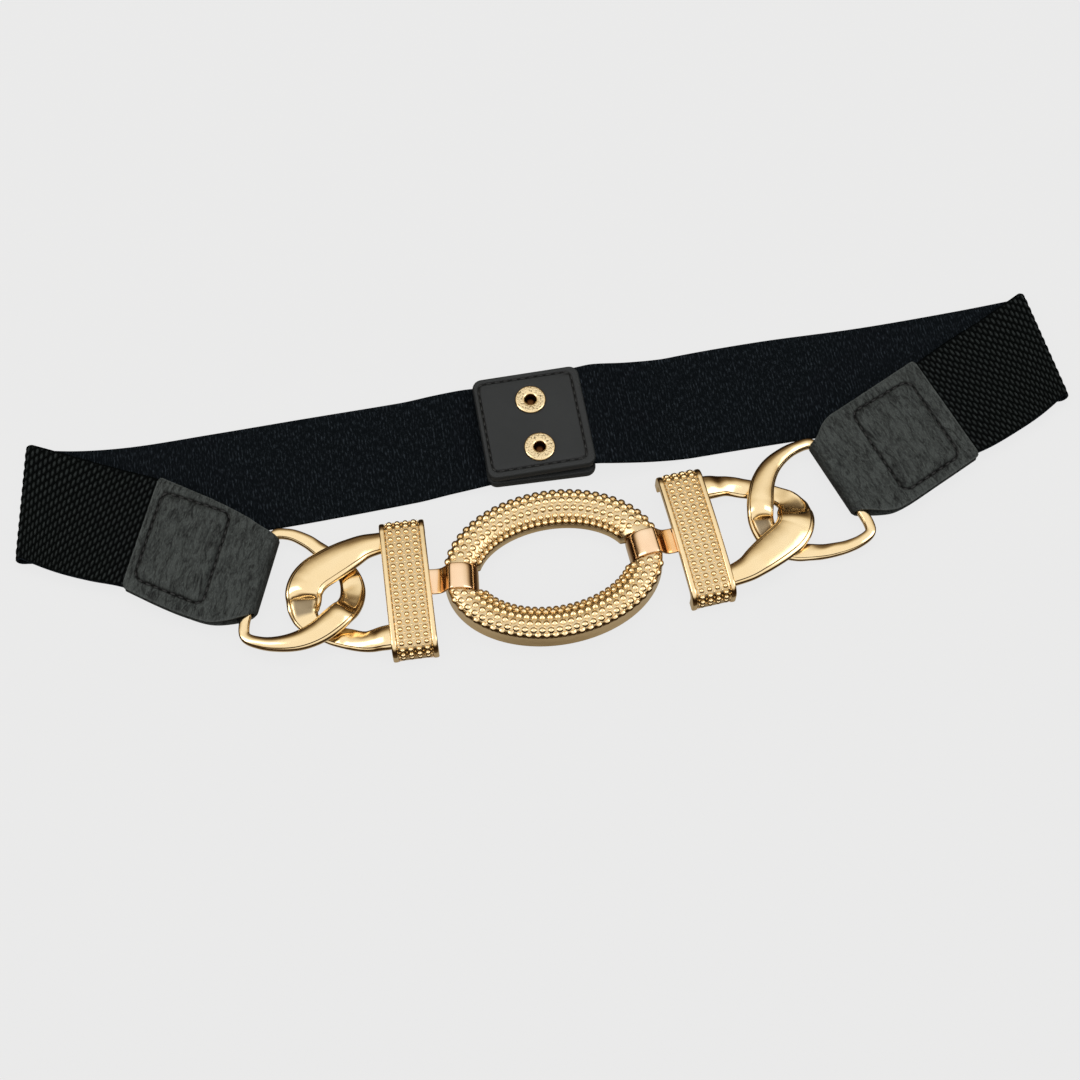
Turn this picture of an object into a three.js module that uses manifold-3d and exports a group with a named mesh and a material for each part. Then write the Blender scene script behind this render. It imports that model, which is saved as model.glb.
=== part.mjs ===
// A chain belt for the waist: two elastic halves, closed at the back by two snaps, and joined at the
// front by leather tabs, curb links, beaded plates, strip hooks and a beaded oval ring.
// It lies flat as a closed loop. Millimetres, +Z up, z = 0 on the surface that it lies on.

import * as THREE from 'three';
import * as BufferGeometryUtils from 'three/addons/utils/BufferGeometryUtils.js';
import Module from 'manifold-3d';

const wasm = await Module();
wasm.setup();

// Driving dimensions
const GAP = 0.3;

const ELASTIC_THICKNESS = 1.2;
const ELASTIC_Z = ELASTIC_THICKNESS / 2;
const FOLD_RADIUS = 2.05;
const FRONT_Z = ELASTIC_Z + 2 * FOLD_RADIUS;
const FOLD_STEPS = 8;
const ELASTIC_STEPS = 2;
const POCKET_GAP = 0.25;

const LEATHER = 1.1;
const LINK_BAR = 3.6;
const TAB_FLAT = ELASTIC_THICKNESS / 2 + POCKET_GAP + LEATHER;
const TAB_ROLL = LINK_BAR / 2 + GAP + LEATHER;
const TAB_SWELL_START = -14;
const TAB_REACH = 40;
const WINDOW_RISE = 0.7;
const WINDOW_BEVEL = 0.5;

const PATCH_LENGTH = 39.8;
const PATCH_WIDTH = 39.2;
const PATCH_CORNER = 3.5;
const PATCH_SKIN = 1;
const PATCH_SLOT = ELASTIC_THICKNESS + 2 * POCKET_GAP;
const PATCH_THICKNESS = 2 * PATCH_SKIN + PATCH_SLOT;
const PATCH_SEAM = 2.5;
const PATCH_BEVEL = 0.35;
const SNAP_SPACING = 18.6;
const SNAP_X = 0.3;
const SNAP_Y = -1.1;
const SNAP_RADIUS = 5.3;
const SNAP_BORE = 2;
const SNAP_TUBE = 2.6;
const SNAP_HOLE = SNAP_TUBE + GAP;
const SNAP_POST = 1.6;
const CAP_THICKNESS = 0.9;
const FLANGE = 0.45;
const FLANGE_RADIUS = SNAP_RADIUS - 0.6;
const STUD_FLANGE = 0.27;
const LOWER_PATCH_Z = CAP_THICKNESS + 0.2;
const PATCH_SPACE = 1.4;
const UPPER_PATCH_Z = LOWER_PATCH_Z + PATCH_THICKNESS + PATCH_SPACE;
const RING_THICKNESS = 0.8;
const RING_SHOULDER = 0.8;
const RING_LIP = 0.5;
const POST_TIP = 0.5;
const ROUND_SIDES = 12;

const PLATE_LENGTH = 48.4;
const PLATE_WIDTH = 15.3;
const PLATE_HEIGHT = 10;
const PLATE_CROWN = 1;
const PLATE_END_RADIUS = 5;
const PLATE_WALL = 1.5;
const PLATE_SKIRT = 3.2;
const PLATE_RIM = 1.9;
const PLATE_EDGE = 0.3;
const PLATE_STEP = 0.5;
const BEAD_COLUMNS = 4;
const PLATE_BEAD_ROWS = 14;
const BEAD_RISE = 0.7;
const FIELD_DROP = 0.35;
const ROD_RADIUS = 1.2;
const ROD_X = 2.2;
const CURL_GAP = 0.6;

const ROD_SIDES = 8;
const LINK_STEPS = 2;

const OVAL_LENGTH = 73.6;
const OVAL_WIDTH = 52.6;
const OVAL_TUBE = 11.2;
const OVAL_SKIRT = 3.3;
const OVAL_SHOULDER = 5.5;
const OVAL_DOME = 3.7;
const OVAL_FLARE = 0.3;
const OVAL_DROP = 1.1;
const OVAL_Z = 1.4;
const OVAL_WALL = 1.4;
const OVAL_INNER_WALL = 3;
const OVAL_BEAD_ROWS = 6;
const OVAL_BEADS = 30;
const OVAL_BEAD_RISE = 0.55;

const STRIP_WIDTH = 9;
const STRIP_THICKNESS = 1;
const STRIP_LOWEST = STRIP_THICKNESS / 2;
const STRIP_UNDER_SKIRT = 0.4;
const STRIP_RAMP = 1.9;
const STRIP_LANDING = 126;
const STRIP_SEAT = 1.5;
const STRIP_TAIL = 2;
const CURL_START = -45;
const CURL_END = -270;
const CURL_STEPS = 8;
const CURL_RADIUS = 1;
const DOME_STEPS = 10;

// Where each piece lies, seen from above. turn is in degrees, anticlockwise from +X.
const PLACES = {
  ovalRing: { x: 4.7, y: -11.9, turn: 11 },
  plateLeft: { x: -44, y: -19.5, turn: 7.6 },
  plateRight: { x: 52.7, y: -0.75, turn: 193.5 },
  tabLeft: { x: -94, y: -15, turn: -12.4 },
  tabRight: { x: 102.4, y: 21.7, turn: 208 },
  patchUpper: { x: -2.2, y: 40.7, turn: 10 },
  patchLower: { x: -1.7, y: 40.4, turn: 7.9 },
};

// How far each strap link has slid along the leather fold
const LINK_SLIDE_LEFT = -2.5;
const LINK_SLIDE_RIGHT = 4.6;

// Middle line of each elastic half: place, height, direction of its cross line and width
const ELASTIC_LEFT_BACK = [
  { x: 12.2, y: 42.4, z: LOWER_PATCH_Z + PATCH_THICKNESS / 2, across: 97.9, width: 37 },
  { x: -20.5, y: 38.1, z: LOWER_PATCH_Z + PATCH_THICKNESS / 2, across: 97.9, width: 38.4 },
  { x: -25, y: 37.3, z: 2.8, across: 98.5, width: 39 },
  { x: -34.5, y: 35.7, z: 1.5, across: 99.5, width: 39.4 },
  { x: -45.3, y: 33.3, z: ELASTIC_Z, across: 100.5, width: 39.6 },
  { x: -79.8, y: 26.4, z: ELASTIC_Z, across: 101, width: 40.4 },
  { x: -110, y: 20.6, z: ELASTIC_Z, across: 100, width: 40.4 },
  { x: -140.6, y: 15, z: ELASTIC_Z, across: 97, width: 40.6 },
  { x: -160, y: 12.6, z: ELASTIC_Z, across: 94, width: 42.2 },
  { x: -175.4, y: 12.4, z: ELASTIC_Z, across: 91.9, width: 43.3 },
];
const ELASTIC_LEFT_FRONT = [
  { x: -175.4, y: 12.4, z: FRONT_Z, across: 91.9, width: 43.3 },
  { x: -158, y: 6.6, z: FRONT_Z, across: 82, width: 42.6 },
  { x: -146.5, y: 3.4, z: FRONT_Z, across: 79, width: 42 },
  { x: -135.1, y: 0.6, z: FRONT_Z, across: 77, width: 41 },
  { x: -121.6, y: -5.7, z: FRONT_Z, across: 77.2, width: 38.6 },
  { x: -106.2, y: -12.3, z: FRONT_Z, across: 77.6, width: 36 },
];
const ELASTIC_RIGHT_BACK = [
  { x: -16.1, y: 38.4, z: UPPER_PATCH_Z + PATCH_THICKNESS / 2, across: 100, width: 37 },
  { x: 17, y: 44.2, z: UPPER_PATCH_Z + PATCH_THICKNESS / 2, across: 100, width: 38.6 },
  { x: 21.5, y: 44.8, z: 7.9, across: 100.5, width: 39.6 },
  { x: 34, y: 47.2, z: 4.4, across: 101, width: 40.2 },
  { x: 46.6, y: 50.2, z: 1.1, across: 100.5, width: 40.6 },
  { x: 55, y: 52.1, z: ELASTIC_Z, across: 100, width: 41 },
  { x: 82.2, y: 57.2, z: ELASTIC_Z, across: 99.3, width: 41.4 },
  { x: 118.7, y: 63.1, z: ELASTIC_Z, across: 100.5, width: 41 },
  { x: 156.5, y: 70.3, z: ELASTIC_Z, across: 103, width: 41.6 },
  { x: 178.3, y: 74.3, z: ELASTIC_Z, across: 105.2, width: 43.4 },
];
const ELASTIC_RIGHT_FRONT = [
  { x: 178.3, y: 74.3, z: FRONT_Z, across: 105.2, width: 43.4 },
  { x: 165.6, y: 64.2, z: FRONT_Z, across: 113.5, width: 42.4 },
  { x: 156.5, y: 58, z: FRONT_Z, across: 116.5, width: 42.2 },
  { x: 147.4, y: 51.8, z: FRONT_Z, across: 118, width: 41.2 },
  { x: 139.2, y: 46.6, z: FRONT_Z, across: 118, width: 39.4 },
  { x: 127.6, y: 38.9, z: FRONT_Z, across: 118, width: 38.4 },
  { x: 116.8, y: 31.4, z: FRONT_Z, across: 118, width: 37.6 },
];

// Outline of each tab and of its raised window, from the band towards the fold: x along the tab,
// measured from the middle of the link's bar, and the two edges at that x
const TAB_LEFT_EDGES = [
  { x: -43.4, low: -14.5, high: 27.3 },
  { x: -29, low: -18, high: 24.3 },
  { x: -20, low: -19.6, high: 22.2 },
  { x: -11, low: -20.2, high: 19.6 },
  { x: -3.5, low: -17.7, high: 16.4 },
  { x: TAB_ROLL, low: -14, high: 14 },
];
const TAB_RIGHT_EDGES = [
  { x: -47.2, low: -25.9, high: 16.3 },
  { x: -30, low: -23.7, high: 18.5 },
  { x: -14.2, low: -21.7, high: 20.3 },
  { x: -9.4, low: -21, high: 19.9 },
  { x: -5, low: -19, high: 18 },
  { x: -0.6, low: -15.6, high: 15.6 },
  { x: TAB_ROLL, low: -14.3, high: 14.3 },
];
const WINDOW_LEFT_EDGES = [
  { x: -40.2, low: -10.5, high: 22 },
  { x: -15.6, low: -15, high: 18.9 },
];
const WINDOW_RIGHT_EDGES = [
  { x: -41, low: -19.8, high: 13.1 },
  { x: -16.8, low: -18, high: 16 },
];

// Wire of the strap link, as a closed loop from the bar's middle: place, width and height
const STRAP_LINK_ROWS = [
  { x: 0, y: 0, z: FRONT_Z, width: LINK_BAR, height: LINK_BAR },
  { x: 0, y: 15.5, z: FRONT_Z, width: LINK_BAR, height: LINK_BAR },
  { x: 1.2, y: 18.2, z: 4.6, width: 3.6, height: 3.6 },
  { x: 5.6, y: 19.3, z: 4.3, width: 3.9, height: 3.4 },
  { x: 11, y: 18.7, z: 3.4, width: 4.5, height: 3.4 },
  { x: 15.8, y: 17.1, z: 2.4, width: 5.1, height: 3.4 },
  { x: 20.6, y: 15, z: 1.9, width: 5.8, height: 3.4 },
  { x: 26, y: 12, z: 1.9, width: 6.6, height: 3.4 },
  { x: 29.4, y: 8.8, z: 2.1, width: 7.6, height: 3.5 },
  { x: 31.4, y: 5, z: 2.5, width: 8.4, height: 3.6 },
  { x: 32.2, y: 1, z: 3.6, width: 8.6, height: 4.1 },
  { x: 31.9, y: -2.6, z: 5.1, width: 8.8, height: 4.6 },
  { x: 30.9, y: -5.2, z: 6.7, width: 9, height: 4.8 },
  { x: 28.8, y: -8.6, z: 7, width: 9.2, height: 4.9 },
  { x: 25, y: -13.6, z: 7, width: 8.3, height: 4.8 },
  { x: 19.9, y: -17.6, z: 6.7, width: 7, height: 4.6 },
  { x: 13.8, y: -20, z: 6, width: 5.4, height: 4.4 },
  { x: 7.3, y: -20.9, z: 5.2, width: 4.2, height: 4 },
  { x: 1.7, y: -19.9, z: 4.8, width: 3.6, height: 3.7 },
  { x: 0, y: -16.2, z: FRONT_Z, width: LINK_BAR, height: LINK_BAR },
];

// Wire of the plate's own link, from the plate round to the plate again
const PLATE_LINK_ROWS = [
  { x: -5.4, y: 17.3, z: 5.6, width: 7.2, height: 4.6 },
  { x: -8.4, y: 17, z: 5.8, width: 7.6, height: 4.6 },
  { x: -13.6, y: 16, z: 6.4, width: 9, height: 4.8 },
  { x: -18.2, y: 14, z: 6.9, width: 10.8, height: 4.9 },
  { x: -22.7, y: 11.9, z: 7.15, width: 12, height: 4.6 },
  { x: -26.8, y: 9.9, z: 7.15, width: 12.6, height: 4.6 },
  { x: -30.4, y: 7.9, z: 7.1, width: 12.8, height: 4.7 },
  { x: -33, y: 5.4, z: 7, width: 12.8, height: 4.9 },
  { x: -34.5, y: 2.4, z: 6.8, width: 12.6, height: 4.9 },
  { x: -35, y: -0.4, z: 5.4, width: 12, height: 4.6 },
  { x: -35.3, y: -3, z: 4, width: 10.8, height: 4.2 },
  { x: -34.9, y: -5.6, z: 2.8, width: 9, height: 3.8 },
  { x: -33.2, y: -8.2, z: 2.1, width: 7.4, height: 3.5 },
  { x: -30, y: -10.6, z: 1.9, width: 6.6, height: 3.5 },
  { x: -25.8, y: -12.9, z: 1.9, width: 6.8, height: 3.5 },
  { x: -21.3, y: -14.7, z: 2, width: 7.2, height: 3.6 },
  { x: -15.8, y: -16.6, z: 3, width: 7.2, height: 4.2 },
  { x: -10, y: -16.8, z: 4.6, width: 8.4, height: 4.9 },
  { x: -5.4, y: -16.8, z: 5.3, width: 8.8, height: 5.2 },
];

// Section of a link's wire, as shares of half its width and half its height: a crowned top face with a
// bevel on each side, upright sides and a flat underside
const LINK_SECTION = [
  { across: 1, above: 0.1 },
  { across: 0.8, above: 0.66 },
  { across: 0.3, above: 0.96 },
  { across: -0.3, above: 0.96 },
  { across: -0.8, above: 0.66 },
  { across: -1, above: 0.1 },
  { across: -0.8, above: -0.8 },
  { across: 0.8, above: -0.8 },
];

// Direction of each strip against its plate, and its sideways place there
const STRIP_TURN_LEFT = -4.5;
const STRIP_SHIFT_LEFT = 1.3;
const STRIP_TURN_RIGHT = 0.5;
const STRIP_SHIFT_RIGHT = 0;

const black = { color: 0x0c0e11, roughness: 0.95, metalness: 0 };
const charcoal = { color: 0x3c3d3d, roughness: 0.7, metalness: 0 };
const gold = { color: 0xefcb8b, roughness: 0.25, metalness: 1 };
const roseGold = { color: 0xf3c9a0, roughness: 0.2, metalness: 1 };

const UP = new THREE.Vector3(0, 0, 1);

// The same triangles with positions only, and their shared points merged
function mergedPositions(geometry) {
  const bare = new THREE.BufferGeometry();
  bare.setAttribute('position', geometry.attributes.position);
  bare.setIndex(geometry.index);
  return BufferGeometryUtils.mergeVertices(bare, 1e-4);
}

function toSolid(geometry) {
  const merged = mergedPositions(geometry);
  const vertProperties = new Float32Array(merged.attributes.position.array);
  const triVerts = new Uint32Array(merged.index.array);
  return new wasm.Manifold(new wasm.Mesh({ numProp: 3, vertProperties, triVerts }));
}

// The body itself, without the specks that a cut or a join can leave
function mainShell(solid) {
  const shells = solid.decompose();
  return shells.reduce((best, shell) => (shell.volume() > best.volume() ? shell : best));
}

function toGeometry(solid) {
  const mesh = solid.getMesh();
  const geometry = new THREE.BufferGeometry();
  geometry.setAttribute('position', new THREE.BufferAttribute(mesh.vertProperties, 3));
  geometry.setIndex(new THREE.BufferAttribute(mesh.triVerts, 1));
  return geometry;
}

// Triangles that fill a flat outline, wound the way the outline runs
function fillOutline(outline) {
  const way = Math.sign(THREE.ShapeUtils.area(outline));
  return THREE.ShapeUtils.triangulateShape(outline, []).map(([a, b, c]) => {
    const turned = Math.sign(THREE.ShapeUtils.area([outline[a], outline[b], outline[c]])) !== way;
    return turned ? [a, c, b] : [a, b, c];
  });
}

// A closed solid through rings of equally many points. An open loft has both ends filled, as the
// ring's flat outline is filled, or with a fan where no outline is given.
function loft(rings, closed, outline = null) {
  const sides = rings[0].length;
  const positions = rings.flat().flatMap((p) => [p.x, p.y, p.z]);
  const indices = [];
  const spans = closed ? rings.length : rings.length - 1;
  for (let i = 0; i < spans; i++) {
    const here = i * sides;
    const next = ((i + 1) % rings.length) * sides;
    for (let j = 0; j < sides; j++) {
      const k = (j + 1) % sides;
      indices.push(here + j, here + k, next + k, here + j, next + k, next + j);
    }
  }
  if (!closed) {
    const fan = Array.from({ length: sides - 2 }, (_, j) => [0, j + 1, j + 2]);
    const last = (rings.length - 1) * sides;
    for (const [a, b, c] of outline ? fillOutline(outline) : fan) {
      indices.push(a, c, b, last + a, last + b, last + c);
    }
  }
  const geometry = new THREE.BufferGeometry();
  geometry.setAttribute('position', new THREE.Float32BufferAttribute(positions, 3));
  geometry.setIndex(indices);
  return facingOut(geometry);
}

// The solid of a closed skin, turned inside out where its faces point in
function facingOut(geometry) {
  const solid = toSolid(geometry);
  if (solid.volume() > 0) {
    return solid;
  }
  const index = geometry.index.array;
  for (let i = 0; i < index.length; i += 3) {
    [index[i], index[i + 1]] = [index[i + 1], index[i]];
  }
  return toSolid(geometry);
}

// Rows between the rows of a table: x, y and z follow a smooth curve, the other columns are blended
function refine(rows, steps, closed) {
  const curve = new THREE.CatmullRomCurve3(
    rows.map((row) => new THREE.Vector3(row.x, row.y, row.z)), closed, 'centripetal');
  const spans = closed ? rows.length : rows.length - 1;
  const count = spans * steps + (closed ? 0 : 1);
  return Array.from({ length: count }, (_, i) => {
    const span = Math.min(Math.floor(i / steps), spans - 1);
    const part = i / steps - span;
    const from = rows[span];
    const to = rows[(span + 1) % rows.length];
    const row = {};
    for (const name of Object.keys(from)) {
      row[name] = THREE.MathUtils.lerp(from[name], to[name], part);
    }
    const point = curve.getPoint(i / (spans * steps));
    return { ...row, x: point.x, y: point.y, z: point.z };
  });
}

function place(object, spot) {
  object.position.set(spot.x, spot.y, spot.z ?? 0);
  object.rotation.z = THREE.MathUtils.degToRad(spot.turn ?? 0);
  object.updateMatrix();
  return object;
}

function piece(name, geometry, look) {
  const flat = geometry.index ? geometry.toNonIndexed() : geometry;
  flat.computeVertexNormals();
  const mesh = new THREE.Mesh(flat, new THREE.MeshStandardMaterial(look));
  mesh.name = name;
  return mesh;
}

function column(radius, bottom, top, x = 0, y = 0) {
  const geometry = new THREE.CylinderGeometry(radius, radius, top - bottom, ROUND_SIDES);
  geometry.rotateX(Math.PI / 2);
  geometry.translate(x, y, (top + bottom) / 2);
  return toSolid(geometry);
}

function block(x0, x1, y0, y1, z0, z1) {
  const geometry = new THREE.BoxGeometry(x1 - x0, y1 - y0, z1 - z0);
  geometry.translate((x0 + x1) / 2, (y0 + y1) / 2, (z0 + z1) / 2);
  return toSolid(geometry);
}

// Places of the two snaps, along the cross line of a patch
function snapSpots() {
  return [SNAP_Y + SNAP_SPACING / 2, SNAP_Y - SNAP_SPACING / 2];
}

// The band's cross line at a row, as its two ends
function crossLine(row) {
  const angle = THREE.MathUtils.degToRad(row.across);
  const reach = new THREE.Vector3(Math.cos(angle), Math.sin(angle), 0).multiplyScalar(row.width / 2);
  const middle = new THREE.Vector3(row.x, row.y, row.z);
  return { low: middle.clone().sub(reach), high: middle.clone().add(reach) };
}

// One elastic half: the back part, a half turn round the fold line, and the front part
function elasticBand(back, front, side) {
  const fold = back[back.length - 1];
  const angle = THREE.MathUtils.degToRad(fold.across);
  const outward = new THREE.Vector3(side * Math.abs(Math.sin(angle)), -side * Math.cos(angle), 0);
  outward.normalize();
  const turnRows = Array.from({ length: FOLD_STEPS - 1 }, (_, i) => {
    const turn = (Math.PI * (i + 1)) / FOLD_STEPS;
    const reach = outward.clone().multiplyScalar(FOLD_RADIUS * Math.sin(turn));
    const rise = FOLD_RADIUS * (1 - Math.cos(turn));
    return { ...fold, x: fold.x + reach.x, y: fold.y + reach.y, z: fold.z + rise };
  });
  const rows = [...refine(back, ELASTIC_STEPS, false), ...turnRows, ...refine(front, ELASTIC_STEPS, false)];
  const lines = rows.map((row) => crossLine({ ...row, z: Math.max(row.z, ELASTIC_Z) }));
  const rings = lines.map((line, i) => {
    const before = lines[Math.max(i - 1, 0)];
    const after = lines[Math.min(i + 1, lines.length - 1)];
    const across = line.high.clone().sub(line.low).normalize();
    const along = after.low.clone().add(after.high).sub(before.low).sub(before.high);
    const normal = across.clone().cross(along).normalize().multiplyScalar(ELASTIC_THICKNESS / 2);
    return [
      line.high.clone().add(normal),
      line.low.clone().add(normal),
      line.low.clone().sub(normal),
      line.high.clone().sub(normal),
    ];
  });
  return loft(rings, false);
}

function outlineShape(edges) {
  const shape = new THREE.Shape();
  shape.moveTo(edges[0].x, edges[0].low);
  for (const row of edges.slice(1)) {
    shape.lineTo(row.x, row.low);
  }
  for (const row of [...edges].reverse()) {
    shape.lineTo(row.x, row.high);
  }
  shape.closePath();
  return shape;
}

function prism(shape, z0, z1, bevel = 0) {
  const geometry = new THREE.ExtrudeGeometry(shape, {
    depth: z1 - z0 - 2 * bevel,
    bevelEnabled: bevel > 0,
    bevelThickness: bevel,
    bevelSize: bevel,
    bevelOffset: -bevel,
    bevelSegments: 1,
    curveSegments: 3,
  });
  geometry.translate(0, 0, z0 + bevel);
  return toSolid(geometry);
}

// Side view of the folded leather: two flat layers that swell to a roll round the link's bar.
// inset moves the line in from the outer face.
function foldLine(start, inset) {
  const flat = TAB_FLAT - inset;
  const roll = TAB_ROLL - inset;
  const swellSteps = 4;
  const rollSteps = 8;
  const upper = [new THREE.Vector2(start, flat)];
  for (let i = 0; i <= swellSteps; i++) {
    const part = i / swellSteps;
    const x = THREE.MathUtils.lerp(TAB_SWELL_START, 0, part);
    upper.push(new THREE.Vector2(x, THREE.MathUtils.lerp(flat, roll, THREE.MathUtils.smoothstep(part, 0, 1))));
  }
  const half = [...upper];
  for (let i = 1; i <= rollSteps / 2; i++) {
    const angle = Math.PI / 2 - (Math.PI * i) / rollSteps;
    half.push(new THREE.Vector2(roll * Math.cos(angle), roll * Math.sin(angle)));
  }
  const lower = half.slice(0, -1).reverse().map((p) => new THREE.Vector2(p.x, -p.y));
  return [...half, ...lower];
}

// Folded leather, with room for the link that has slid along the fold
function leatherTab(edges, windowEdges, slide) {
  const start = edges[0].x - 1;
  const sideView = new THREE.Shape([...foldLine(start, 0), ...foldLine(start, LEATHER).reverse()]);
  const geometry = new THREE.ExtrudeGeometry(sideView, { depth: 2 * TAB_REACH, bevelEnabled: false });
  geometry.rotateX(Math.PI / 2);
  geometry.translate(0, TAB_REACH, FRONT_Z);
  const top = FRONT_Z + TAB_FLAT;
  const pad = prism(outlineShape(windowEdges), top - LEATHER / 2, top + WINDOW_RISE, WINDOW_BEVEL);
  const room = STRAP_LINK_ROWS.map((row) => ({
    ...row, y: row.y + slide, width: row.width + 2 * GAP, height: row.height + 2 * GAP,
  }));
  const leather = toSolid(geometry).intersect(prism(outlineShape(edges), -1, 2 * PLATE_HEIGHT)).add(pad);
  return mainShell(leather.subtract(linkWire(room, true)));
}

// Rounded wire of changing width and height along a table of rows
function linkWire(rows, closed) {
  const fine = refine(rows, LINK_STEPS, closed);
  const points = fine.map((row) => new THREE.Vector3(row.x, row.y, row.z));
  const rings = fine.map((row, i) => {
    const before = closed ? points[(i + points.length - 1) % points.length] : points[Math.max(i - 1, 0)];
    const after = closed ? points[(i + 1) % points.length] : points[Math.min(i + 1, points.length - 1)];
    const along = after.clone().sub(before).normalize();
    const across = new THREE.Vector3().crossVectors(UP, along).normalize();
    const up = new THREE.Vector3().crossVectors(along, across);
    return LINK_SECTION.map((corner) => points[i].clone()
      .addScaledVector(across, (row.width / 2) * corner.across)
      .addScaledVector(up, (row.height / 2) * corner.above));
  });
  return loft(rings, closed);
}

// The plate's middle line in side view, from foot to foot: y, z and the direction of its outer face
function platePath() {
  const rows = [];
  const half = PLATE_LENGTH / 2;
  const footHeight = PLATE_HEIGHT - PLATE_END_RADIUS - PLATE_CROWN;
  const arc = (Math.PI / 2) * PLATE_END_RADIUS;
  const flat = half - PLATE_END_RADIUS;
  const whole = 2 * (footHeight + arc + flat);
  const count = 2 * PLATE_BEAD_ROWS;
  for (let i = 0; i <= count; i++) {
    const distance = Math.abs((i / count - 0.5) * whole);
    const side = i < count / 2 ? -1 : 1;
    if (distance <= flat) {
      const crown = PLATE_CROWN * (1 - (distance / flat) ** 2);
      rows.push({ y: side * distance, z: PLATE_HEIGHT - PLATE_CROWN + crown, tilt: 0 });
    } else if (distance <= flat + arc) {
      const tilt = (distance - flat) / PLATE_END_RADIUS;
      const y = flat + PLATE_END_RADIUS * Math.sin(tilt);
      const z = footHeight + PLATE_END_RADIUS * Math.cos(tilt);
      rows.push({ y: side * y, z, tilt: side * tilt });
    } else {
      const tilt = Math.PI / 2;
      rows.push({ y: side * half, z: footHeight - (distance - flat - arc), tilt: side * tilt });
    }
  }
  return rows;
}

// One cross section of the plate: offset across the plate and depth below the outer face
function plateSection(beadRow) {
  const half = PLATE_WIDTH / 2;
  const field = half - PLATE_RIM;
  const section = [
    { x: half, depth: PLATE_SKIRT }, { x: half, depth: PLATE_EDGE }, { x: field + PLATE_STEP, depth: 0 },
  ];
  const steps = 2 * BEAD_COLUMNS;
  for (let i = 0; i <= steps; i++) {
    const onBead = beadRow && i % 2 === 1;
    section.push({ x: field - (2 * field * i) / steps, depth: onBead ? FIELD_DROP - BEAD_RISE : FIELD_DROP });
  }
  section.push({ x: -field - PLATE_STEP, depth: 0 }, { x: -half, depth: PLATE_EDGE });
  section.push({ x: -half, depth: PLATE_SKIRT });
  const inner = half - PLATE_WALL;
  section.push({ x: -inner, depth: PLATE_SKIRT }, { x: -inner, depth: PLATE_WALL });
  section.push({ x: inner, depth: PLATE_WALL }, { x: inner, depth: PLATE_SKIRT });
  return section;
}

function plateSolid() {
  const rings = platePath().map((row, i) => {
    const outward = new THREE.Vector3(0, Math.sin(row.tilt), Math.cos(row.tilt));
    const section = plateSection(i % 2 === 1);
    return section.map((p) => new THREE.Vector3(p.x, row.y, row.z).addScaledVector(outward, -p.depth));
  });
  const outline = plateSection(false).map((p) => new THREE.Vector2(p.x, -p.depth));
  return loft(rings, false, outline);
}

function plateAndLink() {
  const rodEnd = PLATE_LENGTH / 2 - PLATE_WALL / 2;
  const rod = new THREE.CylinderGeometry(ROD_RADIUS, ROD_RADIUS, 2 * rodEnd, ROD_SIDES);
  rod.translate(ROD_X, 0, rodHeight());
  return mainShell(plateSolid().add(linkWire(PLATE_LINK_ROWS, false)).add(toSolid(rod)));
}

function stripLevel() {
  return PLATE_HEIGHT - PLATE_SKIRT - STRIP_UNDER_SKIRT - STRIP_THICKNESS / 2;
}

function rodHeight() {
  return stripLevel() - STRIP_THICKNESS / 2 - CURL_GAP - ROD_RADIUS;
}

// The oval's middle line at a turn, and the direction out of it
function ovalPoint(turn) {
  const a = (OVAL_LENGTH - OVAL_TUBE) / 2;
  const b = (OVAL_WIDTH - OVAL_TUBE) / 2;
  const point = new THREE.Vector3(a * Math.cos(turn), b * Math.sin(turn), OVAL_Z);
  const outward = new THREE.Vector3(Math.cos(turn) * b, Math.sin(turn) * a, 0).normalize();
  return { point, outward };
}

// Height of the dome's foot: the outer shoulder where outward is 1, the inner skirt where it is -1
function domeFoot(outward) {
  return THREE.MathUtils.lerp(OVAL_SKIRT, OVAL_SHOULDER, (1 + outward) / 2);
}

// Offset across the tube and height of each point of its section
function ovalSection(beadRow) {
  const half = OVAL_TUBE / 2;
  const section = [{ out: half + OVAL_FLARE, z: -OVAL_DROP }];
  const steps = 2 * OVAL_BEAD_ROWS;
  for (let i = 0; i <= steps; i++) {
    const angle = (Math.PI * i) / steps;
    const rise = beadRow && i % 2 === 1 ? OVAL_BEAD_RISE : 0;
    section.push({
      out: (half + rise) * Math.cos(angle),
      z: domeFoot(Math.cos(angle)) + (OVAL_DOME + rise) * Math.sin(angle),
    });
  }
  const outer = half - OVAL_WALL;
  const inner = half - OVAL_INNER_WALL;
  const ceiling = domeFoot(0) + OVAL_DOME - OVAL_WALL;
  section.push({ out: -half, z: 0 }, { out: -inner, z: 0 }, { out: -inner, z: OVAL_SKIRT });
  section.push({ out: 0, z: ceiling }, { out: outer, z: OVAL_SHOULDER - OVAL_WALL / 2 });
  section.push({ out: outer + OVAL_FLARE, z: -OVAL_DROP });
  return section;
}

function ovalSolid() {
  const count = 2 * OVAL_BEADS;
  const rings = Array.from({ length: count }, (_, i) => {
    const { point, outward } = ovalPoint((2 * Math.PI * (i + 0.5)) / count);
    return ovalSection(i % 2 === 1).map((p) => point.clone().addScaledVector(outward, p.out).setZ(OVAL_Z + p.z));
  });
  return loft(rings, true);
}

// Side view of a strip's curl round the rod
function stripCurl() {
  const radius = ROD_RADIUS + CURL_GAP + STRIP_THICKNESS / 2;
  return Array.from({ length: CURL_STEPS + 1 }, (_, i) => {
    const angle = THREE.MathUtils.degToRad(THREE.MathUtils.lerp(CURL_START, CURL_END, i / CURL_STEPS));
    return new THREE.Vector2(ROD_X + radius * Math.cos(angle), rodHeight() + radius * Math.sin(angle));
  });
}

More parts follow.
